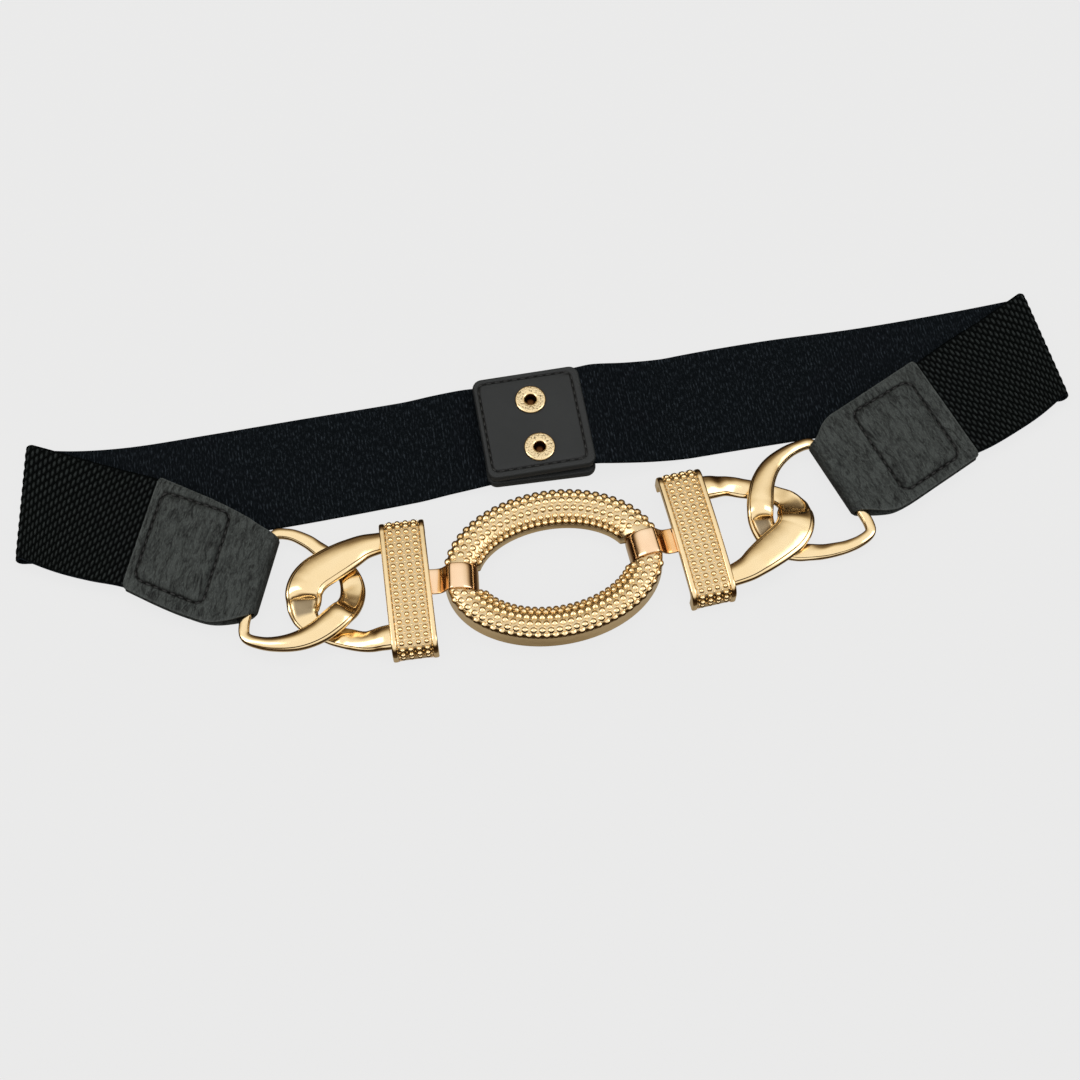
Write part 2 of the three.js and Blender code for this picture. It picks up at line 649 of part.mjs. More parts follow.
// Side view of the rest of a strip: over the tube and down into a seat on its inner side, then under it
function stripOverTube(tubeStart) {
  const line = [new THREE.Vector2(tubeStart - STRIP_RAMP, stripLevel())];
  const clear = GAP + STRIP_THICKNESS / 2;
  const middle = tubeStart + OVAL_TUBE / 2;
  const outerReach = OVAL_TUBE / 2 + clear;
  const innerReach = outerReach - STRIP_SEAT;
  const rise = OVAL_DOME + clear;
  for (let i = 0; i <= DOME_STEPS; i++) {
    const angle = THREE.MathUtils.degToRad(THREE.MathUtils.lerp(STRIP_LANDING, 0, i / DOME_STEPS));
    const reach = Math.cos(angle) < 0 ? outerReach : innerReach;
    const z = OVAL_Z + domeFoot(-Math.cos(angle)) + rise * Math.sin(angle);
    line.push(new THREE.Vector2(middle + reach * Math.cos(angle), z));
  }
  for (const angle of [0, -Math.PI / 4, -Math.PI / 2]) {
    const x = middle + innerReach - CURL_RADIUS + CURL_RADIUS * Math.cos(angle);
    line.push(new THREE.Vector2(x, STRIP_LOWEST + CURL_RADIUS + CURL_RADIUS * Math.sin(angle)));
  }
  line.push(new THREE.Vector2(middle + STRIP_TAIL, STRIP_LOWEST));
  return line;
}

// A strip of the given width and thickness along a side view line
function stripSolid(line, width, thickness) {
  const rings = line.map((p, i) => {
    const before = line[Math.max(i - 1, 0)];
    const after = line[Math.min(i + 1, line.length - 1)];
    const along = after.clone().sub(before).normalize();
    const half = thickness / 2;
    const up = { x: -along.y * half, z: along.x * half };
    return [
      new THREE.Vector3(p.x + up.x, width / 2, p.y + up.z),
      new THREE.Vector3(p.x - up.x, width / 2, p.y - up.z),
      new THREE.Vector3(p.x - up.x, -width / 2, p.y - up.z),
      new THREE.Vector3(p.x + up.x, -width / 2, p.y + up.z),
    ];
  });
  return loft(rings, false);
}

function roundedSquare(length, width, corner) {
  const x = length / 2;
  const y = width / 2;
  const shape = new THREE.Shape();
  shape.moveTo(-x + corner, -y);
  shape.lineTo(x - corner, -y);
  shape.absarc(x - corner, -y + corner, corner, -Math.PI / 2, 0);
  shape.lineTo(x, y - corner);
  shape.absarc(x - corner, y - corner, corner, 0, Math.PI / 2);
  shape.lineTo(-x + corner, y);
  shape.absarc(-x + corner, y - corner, corner, Math.PI / 2, Math.PI);
  shape.lineTo(-x, -y + corner);
  shape.absarc(-x + corner, -y + corner, corner, Math.PI, 1.5 * Math.PI);
  return shape;
}

// A patch folded round the band's end: open where the band goes in, at mouth = 1 or -1 along x
function snapPatch(mouth) {
  const body = prism(roundedSquare(PATCH_LENGTH, PATCH_WIDTH, PATCH_CORNER), 0, PATCH_THICKNESS, PATCH_BEVEL);
  const closed = -mouth * (PATCH_LENGTH / 2 - PATCH_SEAM);
  const open = mouth * (PATCH_LENGTH / 2 + 1);
  const slot = block(
    Math.min(closed, open), Math.max(closed, open), -PATCH_WIDTH, PATCH_WIDTH,
    PATCH_SKIN, PATCH_SKIN + PATCH_SLOT);
  let solid = body.subtract(slot);
  for (const y of snapSpots()) {
    solid = solid.subtract(column(SNAP_HOLE, -1, PATCH_THICKNESS + 1, SNAP_X, y));
  }
  return solid;
}

function lathe(profile) {
  const geometry = new THREE.LatheGeometry(profile.map((p) => new THREE.Vector2(p.radius, p.z)), ROUND_SIDES);
  geometry.rotateX(Math.PI / 2);
  return facingOut(mergedPositions(geometry));
}

// Eyelet half: a domed ring on the upper patch, a tube through it and a flange under it
function snapRing() {
  const seat = UPPER_PATCH_Z + PATCH_THICKNESS + GAP / 2;
  const top = seat + RING_THICKNESS;
  const under = UPPER_PATCH_Z - GAP / 2;
  return lathe([
    { radius: SNAP_BORE, z: under - FLANGE / 2 },
    { radius: SNAP_BORE + GAP, z: under - FLANGE },
    { radius: FLANGE_RADIUS, z: under - FLANGE },
    { radius: FLANGE_RADIUS, z: under },
    { radius: SNAP_TUBE, z: under },
    { radius: SNAP_TUBE, z: seat },
    { radius: SNAP_RADIUS, z: seat },
    { radius: SNAP_RADIUS, z: seat + RING_THICKNESS / 2 },
    { radius: SNAP_RADIUS - RING_SHOULDER, z: top },
    { radius: SNAP_BORE + RING_LIP, z: top },
    { radius: SNAP_BORE, z: seat + RING_THICKNESS / 2 },
    { radius: SNAP_BORE, z: under - FLANGE / 2 },
  ]);
}

// Stud half: a flat cap under the lower patch, a stem through it and a post up into the ring
function snapCap() {
  const over = LOWER_PATCH_Z + PATCH_THICKNESS + GAP / 2;
  const postTop = UPPER_PATCH_Z + PATCH_THICKNESS / 2;
  return lathe([
    { radius: 0, z: 0 },
    { radius: SNAP_RADIUS - RING_LIP, z: 0 },
    { radius: SNAP_RADIUS, z: CAP_THICKNESS / 2 },
    { radius: SNAP_RADIUS, z: CAP_THICKNESS },
    { radius: SNAP_TUBE, z: CAP_THICKNESS },
    { radius: SNAP_TUBE, z: over },
    { radius: FLANGE_RADIUS, z: over },
    { radius: FLANGE_RADIUS, z: over + STUD_FLANGE },
    { radius: SNAP_POST, z: over + STUD_FLANGE },
    { radius: SNAP_POST, z: postTop },
    { radius: SNAP_POST - POST_TIP, z: postTop + POST_TIP },
    { radius: 0, z: postTop + POST_TIP },
  ]);
}

// A solid of one place's own frame, moved to the belt's frame
function inBelt(solid, spot) {
  const geometry = toGeometry(solid);
  geometry.applyMatrix4(place(new THREE.Object3D(), spot).matrix);
  return toSolid(geometry);
}

// The place of a snap: on both patches at once, so it stands where the upper patch has it
function snapPlace(y) {
  const spot = PLACES.patchUpper;
  const turn = THREE.MathUtils.degToRad(spot.turn);
  return {
    x: spot.x + SNAP_X * Math.cos(turn) - y * Math.sin(turn),
    y: spot.y + SNAP_X * Math.sin(turn) + y * Math.cos(turn),
  };
}

function withSnapHoles(solid) {
  let result = solid;
  for (const y of snapSpots()) {
    const spot = snapPlace(y);
    result = result.subtract(column(SNAP_HOLE, -1, 2 * PLATE_HEIGHT, spot.x, spot.y));
  }
  return result;
}

// A spot that slides along the cross direction of another
function slideAcross(spot, distance) {
  const turn = THREE.MathUtils.degToRad(spot.turn);
  return { ...spot, x: spot.x - distance * Math.sin(turn), y: spot.y + distance * Math.cos(turn) };
}

// A strip's own frame: its plate's, shifted across it and turned a little
function stripPlace(plate, shift, turn) {
  const spot = slideAcross(plate, shift);
  return { ...spot, turn: plate.turn + turn };
}

// How far along a strip the oval's outer edge lies
function tubeStart(stripSpot, endSide) {
  const oval = PLACES.ovalRing;
  const turn = THREE.MathUtils.degToRad(oval.turn);
  const reach = (endSide * OVAL_LENGTH) / 2;
  const end = new THREE.Vector2(oval.x + reach * Math.cos(turn), oval.y + reach * Math.sin(turn));
  const along = THREE.MathUtils.degToRad(stripSpot.turn);
  return (end.x - stripSpot.x) * Math.cos(along) + (end.y - stripSpot.y) * Math.sin(along);
}

const stripLeft = stripPlace(PLACES.plateLeft, STRIP_SHIFT_LEFT, STRIP_TURN_LEFT);
const stripRight = stripPlace(PLACES.plateRight, STRIP_SHIFT_RIGHT, STRIP_TURN_RIGHT);
const stripSides = [
  { name: 'strip_hook_left', spot: stripLeft, start: tubeStart(stripLeft, -1) },
  { name: 'strip_hook_right', spot: stripRight, start: tubeStart(stripRight, 1) },
];

let oval = inBelt(ovalSolid(), PLACES.ovalRing);
for (const side of stripSides) {
  const room = stripSolid(stripOverTube(side.start), STRIP_WIDTH + 2 * GAP, STRIP_THICKNESS + 2 * GAP);
  oval = oval.subtract(inBelt(room, side.spot));
}

const belt = new THREE.Group();
const leftBand = elasticBand(ELASTIC_LEFT_BACK, ELASTIC_LEFT_FRONT, -1);
const rightBand = elasticBand(ELASTIC_RIGHT_BACK, ELASTIC_RIGHT_FRONT, 1);
belt.add(piece('elastic_left', toGeometry(withSnapHoles(leftBand)), black));
belt.add(piece('elastic_right', toGeometry(withSnapHoles(rightBand)), black));

const tabs = [
  { side: 'left', spot: PLACES.tabLeft, edges: TAB_LEFT_EDGES, window: WINDOW_LEFT_EDGES, slide: LINK_SLIDE_LEFT },
  { side: 'right', spot: PLACES.tabRight, edges: TAB_RIGHT_EDGES, window: WINDOW_RIGHT_EDGES, slide: LINK_SLIDE_RIGHT },
];
for (const tab of tabs) {
  const leather = toGeometry(leatherTab(tab.edges, tab.window, tab.slide));
  belt.add(place(piece(`tab_${tab.side}`, leather, charcoal), tab.spot));
  const link = toGeometry(linkWire(STRAP_LINK_ROWS, true));
  belt.add(place(piece(`strap_link_${tab.side}`, link, gold), slideAcross(tab.spot, tab.slide)));
}

const plateLink = toGeometry(plateAndLink());
belt.add(place(piece('plate_link_left', plateLink, gold), PLACES.plateLeft));
belt.add(place(piece('plate_link_right', plateLink, gold), PLACES.plateRight));

for (const side of stripSides) {
  const line = [...stripCurl(), ...stripOverTube(side.start)];
  const hook = toGeometry(stripSolid(line, STRIP_WIDTH, STRIP_THICKNESS));
  belt.add(place(piece(side.name, hook, roseGold), side.spot));
}

belt.add(piece('oval_ring', toGeometry(mainShell(oval)), gold));

const upperPatch = place(piece('snap_patch_upper', toGeometry(snapPatch(1)), charcoal), PLACES.patchUpper);
upperPatch.position.z = UPPER_PATCH_Z;
belt.add(upperPatch);
const lowerPlace = { ...PLACES.patchLower, z: LOWER_PATCH_Z };
const lowerSolid = withSnapHoles(inBelt(snapPatch(-1), lowerPlace));
belt.add(piece('snap_patch_lower', toGeometry(lowerSolid), charcoal));

const snapNames = ['back', 'front'];
snapSpots().forEach((y, i) => {
  const spot = snapPlace(y);
  belt.add(place(piece(`snap_ring_${snapNames[i]}`, toGeometry(snapRing()), gold), spot));
  belt.add(place(piece(`snap_cap_${snapNames[i]}`, toGeometry(snapCap()), gold), spot));
});

// The origin is the middle of the belt's box, on the surface
belt.updateMatrixWorld(true);
const middle = new THREE.Box3().setFromObject(belt, true).getCenter(new THREE.Vector3());
belt.position.set(-middle.x, -middle.y, 0);
belt.updateMatrixWorld(true);

export default belt;
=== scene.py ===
import math

import bpy
import numpy as np
from bpy.props import FloatProperty, FloatVectorProperty, IntProperty, PointerProperty
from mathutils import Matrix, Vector


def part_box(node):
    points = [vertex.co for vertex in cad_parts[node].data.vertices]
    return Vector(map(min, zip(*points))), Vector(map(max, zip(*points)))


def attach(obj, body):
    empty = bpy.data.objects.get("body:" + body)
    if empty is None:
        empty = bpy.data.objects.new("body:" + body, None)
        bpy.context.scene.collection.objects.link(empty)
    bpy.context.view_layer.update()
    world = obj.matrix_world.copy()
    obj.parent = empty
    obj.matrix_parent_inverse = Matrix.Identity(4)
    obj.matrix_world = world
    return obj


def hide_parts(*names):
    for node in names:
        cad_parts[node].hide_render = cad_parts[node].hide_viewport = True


bl_info = {
    "name": "Chain belt",
    "version": (1, 0, 0),
    "blender": (4, 5, 0),
    "location": "View3D > Sidebar > Belt",
    "description": "Dresses the packed chain belt: webbing, leather, plated castings, beads and stitches",
    "category": "Object",
}

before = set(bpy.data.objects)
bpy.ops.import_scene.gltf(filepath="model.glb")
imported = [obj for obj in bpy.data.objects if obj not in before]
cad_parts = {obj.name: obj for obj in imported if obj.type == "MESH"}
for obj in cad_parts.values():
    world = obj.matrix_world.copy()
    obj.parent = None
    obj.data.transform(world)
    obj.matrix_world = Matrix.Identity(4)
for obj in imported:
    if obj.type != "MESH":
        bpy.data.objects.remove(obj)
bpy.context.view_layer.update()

# Sizes in millimetres, as the solids have them
MM = 1000.0
GAP = 0.3
ELASTIC_THICKNESS = 1.2
ELASTIC_Z = ELASTIC_THICKNESS / 2
FOLD_RADIUS = 2.05
FRONT_Z = ELASTIC_Z + 2 * FOLD_RADIUS
LEATHER = 1.1
LINK_BAR = 3.6
POCKET_GAP = 0.25
TAB_FLAT = ELASTIC_THICKNESS / 2 + POCKET_GAP + LEATHER
TAB_ROLL = LINK_BAR / 2 + GAP + LEATHER
TAB_SWELL_START = -14
PATCH_LENGTH, PATCH_WIDTH, PATCH_THICKNESS, PATCH_CORNER = 37.8, 39.2, 3.7, 3.5
LOWER_PATCH_Z, UPPER_PATCH_Z = 1.1, 6.2
SNAP_SPACING, SNAP_X, SNAP_Y = 18.6, 0.3, -1.1
SNAP_RADIUS, SNAP_BORE, SNAP_TUBE, SNAP_POST = 5.3, 2.0, 2.6, 1.6
PLATE_LENGTH, PLATE_WIDTH, PLATE_HEIGHT, PLATE_CROWN = 48.4, 15.3, 10.0, 1.0
PLATE_END_RADIUS, PLATE_WALL, PLATE_SKIRT, PLATE_RIM = 5.0, 1.5, 3.2, 1.9
FIELD_DROP = 0.35
ROD_RADIUS, ROD_X, CURL_GAP = 1.2, 2.2, 0.6
OVAL_LENGTH, OVAL_WIDTH, OVAL_TUBE = 73.6, 52.6, 11.2
OVAL_SKIRT, OVAL_SHOULDER, OVAL_DOME, OVAL_FLARE, OVAL_DROP = 3.3, 5.5, 3.7, 0.3, 1.1
OVAL_Z, OVAL_WALL, OVAL_INNER_WALL = 1.4, 1.4, 3.0
STRIP_WIDTH, STRIP_THICKNESS = 9.0, 1.0
STRIP_UNDER_SKIRT, STRIP_RAMP, STRIP_LANDING, STRIP_SEAT, STRIP_TAIL = 0.4, 1.9, 126, 1.5, 2.0
CURL_START, CURL_END, CURL_RADIUS = -45, -270, 1.0

# Where each piece lies in the plan: x, y and the turn in degrees
OVAL_PLACE = (4.7, -11.9, 11)
PLATE_PLACES = {"left": (-44, -19.5, 7.6), "right": (52.7, -0.75, 193.5)}
TAB_PLACES = {"left": (-94, -15, -12.4), "right": (102.4, 21.7, 208)}
UPPER_PATCH_PLACE = (-2.2, 40.7, 10)
LOWER_PATCH_PLACE = (-1.7, 40.4, 7.9)
LINK_SLIDES = {"left": -2.5, "right": 4.6}
# How much painted shade, with extra roughness, the hollow in each link's turn takes
HOLLOW_SHADE_SHARES = {
    ("strap", "left"): 0.1, ("plate", "left"): 0.8,
    ("strap", "right"): 0.9, ("plate", "right"): 0.5,
}
# A float's slant in radians, and its half width and half length as shares of its column and spacing.
# FLOAT_FLAT is the share of the way from its middle to its edge over which it is flat.
FLOAT_SLANT, FLOAT_WIDTH, FLOAT_REACH, FLOAT_FLAT = 0.12, 0.38, 0.46, 0.35
WEBBING_STEP, WOVEN_COLUMNS, PLAIN_COLUMNS = 0.36, 96, 16
STRIP_TURNS = {"left": (-4.5, 1.3), "right": (0.5, 0)}

# Middle line of each band: x, y, z, direction of the cross line in degrees, width
BAND_BACKS = {
    "left": np.array([
        (-13.1, 39.1, 2.95, 97.9, 37), (-20.5, 38.1, 2.95, 97.9, 38.4), (-25, 37.3, 2.8, 98.5, 39),
        (-34.5, 35.7, 1.5, 99.5, 39.4), (-45.3, 33.3, 0.6, 100.5, 39.6), (-79.8, 26.4, 0.6, 101, 40.4),
        (-110, 20.6, 0.6, 100, 40.4), (-140.6, 15, 0.6, 97, 40.6), (-160, 12.6, 0.6, 94, 42.2),
        (-175.4, 12.4, 0.6, 91.9, 43.3),
    ]),
    "right": np.array([
        (9, 42.8, 8.05, 100, 37), (17, 44.2, 8.05, 100, 38.6), (21.5, 44.8, 7.9, 100.5, 39.6),
        (34, 47.2, 4.4, 101, 40.2), (46.6, 50.2, 1.1, 100.5, 40.6), (55, 52.1, 0.6, 100, 41),
        (82.2, 57.2, 0.6, 99.3, 41.4), (118.7, 63.1, 0.6, 100.5, 41), (156.5, 70.3, 0.6, 103, 41.6),
        (178.3, 74.3, 0.6, 105.2, 43.4),
    ]),
}
BAND_FRONTS = {
    "left": np.array([
        (-175.4, 12.4, 4.7, 91.9, 43.3), (-158, 6.6, 4.7, 82, 42.6), (-146.5, 3.4, 4.7, 79, 42),
        (-135.1, 0.6, 4.7, 77, 41), (-121.6, -5.7, 4.7, 77.2, 38.6), (-106.2, -12.3, 4.7, 77.6, 36),
    ]),
    "right": np.array([
        (178.3, 74.3, 4.7, 105.2, 43.4), (165.6, 64.2, 4.7, 113.5, 42.4), (156.5, 58, 4.7, 116.5, 42.2),
        (147.4, 51.8, 4.7, 118, 41.2), (139.2, 46.6, 4.7, 118, 39.4), (127.6, 38.9, 4.7, 118, 38.4),
        (116.8, 31.4, 4.7, 118, 37.6),
    ]),
}

# Outline of each tab and of its raised window: x along the tab, and the low and high edge there
TAB_EDGES = {
    "left": np.array([
        (-43.4, -14.5, 27.3), (-29, -18, 24.3), (-20, -19.6, 22.2), (-11, -20.2, 19.6), (-3.5, -17.7, 16.4),
        (3.2, -14, 14),
    ]),
    "right": np.array([
        (-47.2, -25.9, 16.3), (-30, -23.7, 18.5), (-14.2, -21.7, 20.3), (-9.4, -21, 19.9), (-5, -19, 18),
        (-0.6, -15.6, 15.6), (3.2, -14.3, 14.3),
    ]),
}
WINDOW_EDGES = {
    "left": np.array([(-40.2, -10.5, 22), (-15.6, -15, 18.9)]),
    "right": np.array([(-41, -19.8, 13.1), (-16.8, -18, 16)]),
}

# Wire of each link: x, y, z, width, height, and how far its top face is crowned or, below 0, hollowed
STRAP_LINK = np.array([
    (0, 0, 4.7, 3.6, 3.6, 0.2), (0, 15.5, 4.7, 3.6, 3.6, 0.2), (1.2, 18.2, 4.6, 3.6, 3.6, 0.2),
    (5.6, 19.3, 4.3, 3.9, 3.4, 0.2), (11, 18.7, 3.4, 4.5, 3.4, 0.25), (15.8, 17.1, 2.4, 5.1, 3.4, 0.25),
    (20.6, 15, 1.9, 5.8, 3.4, 0.25), (26, 12, 1.9, 6.6, 3.4, 0.2), (29.4, 8.8, 2.1, 7.6, 3.5, 0.1),
    (31.4, 5, 2.5, 8.4, 3.6, -0.1), (32.2, 1, 3.6, 8.6, 4.1, -0.35), (31.9, -2.6, 5.1, 8.8, 4.6, -0.3),
    (30.9, -5.2, 6.7, 9, 4.8, 0.28), (28.8, -8.6, 7, 9.2, 4.9, 0.34), (25, -13.6, 7, 8.3, 4.8, 0.34),
    (19.9, -17.6, 6.7, 7, 4.6, 0.34), (13.8, -20, 6, 5.4, 4.4, 0.34), (7.3, -20.9, 5.2, 4.2, 4, 0.3),
    (1.7, -19.9, 4.8, 3.6, 3.7, 0.2), (0, -16.2, 4.7, 3.6, 3.6, 0.2),
])
PLATE_LINK = np.array([
    (-5.4, 17.3, 5.6, 7.2, 4.6, 0.34), (-8.4, 17, 5.8, 7.6, 4.6, 0.34), (-13.6, 16, 6.4, 9, 4.8, 0.34),
    (-18.2, 14, 6.9, 10.8, 4.9, 0.34), (-22.7, 11.9, 7.15, 12, 4.6, 0.34),
    (-26.8, 9.9, 7.15, 12.6, 4.6, 0.34),
    (-30.4, 7.9, 7.1, 12.8, 4.7, 0.34), (-33, 5.4, 7, 12.8, 4.9, 0.34), (-34.5, 2.4, 6.8, 12.6, 4.9, 0.28),
    (-35, -0.4, 5.4, 12, 4.6, -0.3), (-35.3, -3, 4, 10.8, 4.2, -0.35), (-34.9, -5.6, 2.8, 9, 3.8, -0.1),
    (-33.2, -8.2, 2.1, 7.4, 3.5, 0.1), (-30, -10.6, 1.9, 6.6, 3.5, 0.2),
    (-25.8, -12.9, 1.9, 6.8, 3.5, 0.25), (-21.3, -14.7, 2, 7.2, 3.6, 0.25),
    (-15.8, -16.6, 3, 7.2, 4.2, 0.25), (-10, -16.8, 4.6, 8.4, 4.9, 0.3),
    (-5.4, -16.8, 5.3, 8.8, 5.2, 0.3),
])
SIDES = ("left", "right")
# The seam of a patch: low and high x, then low and high y
PATCH_SEAM = (-16.9, 15.9, -17.0, 17.3)

# The studio, in metres: soft lights with their places from the belt's middle, sizes, shares and tints
FLOOR_SIZE, FLOOR_GLOW, FLOOR_DIFFUSE = 8.0, 0.955, 0.03
CAMERA_ELEVATION, CAMERA_DISTANCE, CAMERA_LENS = 66, 0.6, 58.6
STUDIO_LIGHTS = (
    ("Overhead", (0.0, 0.45, 1.1), (0.9, 0.5), 0.6, (1.0, 0.98, 0.95)),
    ("Left", (-1.0, -0.2, 0.9), (0.6, 1.1), 0.5, (1.0, 0.97, 0.92)),
    ("Right", (1.0, -0.1, 0.8), (0.6, 1.1), 0.4, (1.0, 0.98, 0.95)),
)
# Light from all round is the product of two scales of colour. One goes by the direction's share of
# WORLD_SLOPE, from the far side to the camera's, and one by its height over the horizon.
WORLD_SLOPE = (0.0, -0.6, 0.7)
WORLD_BANDS = (
    (-0.45, "#FFFFFF"), (-0.22, "#7A6C5A"), (-0.02, "#A89C88"), (0.15, "#E2DCD0"), (0.4, "#FFFFFF"),
)
HORIZON_BANDS = (
    (-0.95, "#A29A8C"), (-0.75, "#857A68"), (-0.5, "#463626"), (-0.2, "#24190F"), (0.12, "#2A1D11"),
    (0.3, "#6E5C44"), (0.46, "#E2DACC"), (0.62, "#FFFFFF"),
)
WORLD_STRENGTH = 1.08


def linear(code):
    """An sRGB colour such as #3C3D3D as linear red, green and blue: each channel c above 0.04045 becomes
    ((c + 0.055) / 1.055) to the power 2.4, and one below it is divided by 12.92."""
    channels = np.array([int(code[i : i + 2], 16) for i in (1, 3, 5)]) / 255
    high = ((channels + 0.055) / 1.055) ** 2.4
    return tuple(float(c) for c in np.where(channels > 0.04045, high, channels / 12.92))


def unit(vectors):
    """Each vector divided by its length."""
    return vectors / np.linalg.norm(vectors, axis=-1, keepdims=True)


def smooth_step(low, high, values):
    """0 below low, 1 above high, and 3 t squared minus 2 t cubed between them."""
    t = np.clip((values - low) / (high - low), 0, 1)
    return t * t * (3 - 2 * t)


def plan_turn(degrees):
    """The unit vector at an angle in the plan, as x, y and z."""
    angle = np.radians(degrees)
    return np.stack([np.cos(angle), np.sin(angle), np.zeros_like(angle)], axis=-1)


def in_plan(points, place):
    """Points of a piece's own frame, turned about Z by the place's turn and moved to its x and y."""
    x, y, turn = place
    ahead, beside = plan_turn(np.float64(turn)), plan_turn(np.float64(turn + 90))
    return points[..., :1] * ahead + points[..., 1:2] * beside + points[..., 2:] * (0, 0, 1) + (x, y, 0)


def slide_across(place, distance):
    """The place moved by a distance along its own Y."""
    x, y, turn = place
    step = plan_turn(np.float64(turn + 90)) * distance
    return (x + step[0], y + step[1], turn)


def snap_spot(side):
    """The plan point of a snap: half the spacing from the middle of the upper patch, along its own Y."""
    return in_plan(np.array([SNAP_X, SNAP_Y + side * SNAP_SPACING / 2, 0.0]), UPPER_PATCH_PLACE)


def plan_shift():
    """How far the plan lies from the row's frame: a snap's place in the frame, less its place in the plan."""
    low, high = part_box("snap_cap_back")
    middle = (np.array(low) + np.array(high)) / 2 * MM
    return np.array([*(middle - snap_spot(1))[:2], 0])


SHIFT = plan_shift()


def value_noise(points, size, seed):
    """Smooth noise from -1 to 1: random values on a lattice of the given size in mm, blended between the
    lattice points by 3 t squared minus 2 t cubed along each axis."""
    side = 64
    lattice = np.random.default_rng(seed).uniform(-1, 1, (side,) * points.shape[-1])
    cell = points / size
    base = np.floor(cell).astype(int)
    part = cell - base
    part = part * part * (3 - 2 * part)
    total = np.zeros(points.shape[:-1])
    for corner in np.ndindex(*(2,) * points.shape[-1]):
        offset = np.array(corner)
        weight = np.prod(np.where(offset == 1, part, 1 - part), axis=-1)
        where = tuple(np.moveaxis((base + offset) % side, -1, 0))
        total = total + weight * lattice[where]
    return total


def smooth_rows(rows, steps, closed=False):
    """Rows between the rows of a table: every column follows a centripetal Catmull-Rom curve, whose knots
    are spaced by the square root of the distance between the places."""
    if closed:
        before, start, end, after = (np.roll(rows, k, axis=0) for k in (1, 0, -1, -2))
    else:
        padded = np.vstack([2 * rows[0] - rows[1], rows, 2 * rows[-1] - rows[-2]])
        before, start, end, after = padded[:-3], padded[1:-2], padded[2:-1], padded[3:]
    knots = [
        np.sqrt(np.linalg.norm((b - a)[:, :3], axis=1, keepdims=True)) + 1e-9
        for a, b in ((before, start), (start, end), (end, after))
    ]
    first = (start - before) / knots[0] - (end - before) / (knots[0] + knots[1]) + (end - start) / knots[1]
    last = (end - start) / knots[1] - (after - start) / (knots[1] + knots[2]) + (after - end) / knots[2]
    leave, arrive = (first * knots[1])[:, None], (last * knots[1])[:, None]
    t = (np.arange(steps) / steps)[None, :, None]
    start, end = start[:, None], end[:, None]
    curve = (
        (2 * t**3 - 3 * t**2 + 1) * start + (t**3 - 2 * t**2 + t) * leave
        + (3 * t**2 - 2 * t**3) * end + (t**3 - t**2) * arrive
    ).reshape(-1, rows.shape[1])
    return curve if closed else np.vstack([curve, rows[-1]])


def even_rows(rows, step):
    """The same curve with rows a step apart along its length, each column blended between its neighbours.
    Returns the rows and their distances from the start."""
    length = np.concatenate([[0], np.cumsum(np.linalg.norm(np.diff(rows[:, :3], axis=0), axis=1))])
    distances = np.linspace(0, length[-1], max(int(length[-1] / step), 2) + 1)
    columns = [np.interp(distances, length, column) for column in rows.T]
    return np.stack(columns, axis=1), distances


def wire_frame(points, closed):
    """The directions across and above a wire: its own direction comes from the points on each side, across
    is up times that, and above is that times across."""
    if closed:
        along = np.roll(points, -1, axis=0) - np.roll(points, 1, axis=0)
    else:
        along = np.gradient(points, axis=0)
    along = unit(along)
    across = unit(np.cross([0.0, 0.0, 1.0], along))
    return across, np.cross(along, across)


def ball(rings, sides):
    """A unit sphere: each ring lies at an equal step of the angle from the top pole, and each pole is one
    point. Returns the points and the faces of three and four corners."""
    tilt = np.pi * np.arange(1, rings) / rings
    turn = 2 * np.pi * np.arange(sides) / sides
    around = np.stack(
        [np.sin(tilt)[:, None] * np.cos(turn), np.sin(tilt)[:, None] * np.sin(turn),
         np.repeat(np.cos(tilt)[:, None], sides, axis=1)], axis=-1).reshape(-1, 3)
    points = np.vstack([[0, 0, 1], around, [0, 0, -1]])
    here = np.arange(sides)
    there = (here + 1) % sides
    start = 1 + sides * np.arange(rings - 2)[:, None]
    quads = np.stack([start + here, start + here + sides, start + there + sides, start + there], axis=-1)
    top = np.stack([np.zeros(sides, int), 1 + here, 1 + there], axis=-1)
    base = 1 + sides * (rings - 2)
    bottom = np.stack([base + here, np.full(sides, len(points) - 1), base + there], axis=-1)
    return points, quads.reshape(-1, 4), np.vstack([top, bottom])


class Shape:
    """Points, faces of three and four corners with their material numbers, UV places in mm, and a value
    from 0 to 1 at each point for the material."""

    def __init__(self, points, quads, tris, slots=0, uv=None, mask=None):
        self.points = points
        self.quads, self.tris = quads.reshape(-1, 4), tris.reshape(-1, 3)
        self.slots = np.zeros(len(self.quads) + len(self.tris), int) + slots
        self.uv = np.zeros((len(points), 2)) if uv is None else uv
        self.mask = np.zeros(len(points)) if mask is None else mask

    def facing_out(self):
        """The shape with its faces turned round where the volume under them comes out negative."""
        corners = np.vstack([self.quads[:, :3], self.quads[:, [0, 2, 3]], self.tris])
        a, b, c = (self.points[corners[:, k]] for k in range(3))
        if np.einsum("ij,ij->", a, np.cross(b, c)) < 0:
            self.quads, self.tris = self.quads[:, ::-1], self.tris[:, ::-1]
        return self


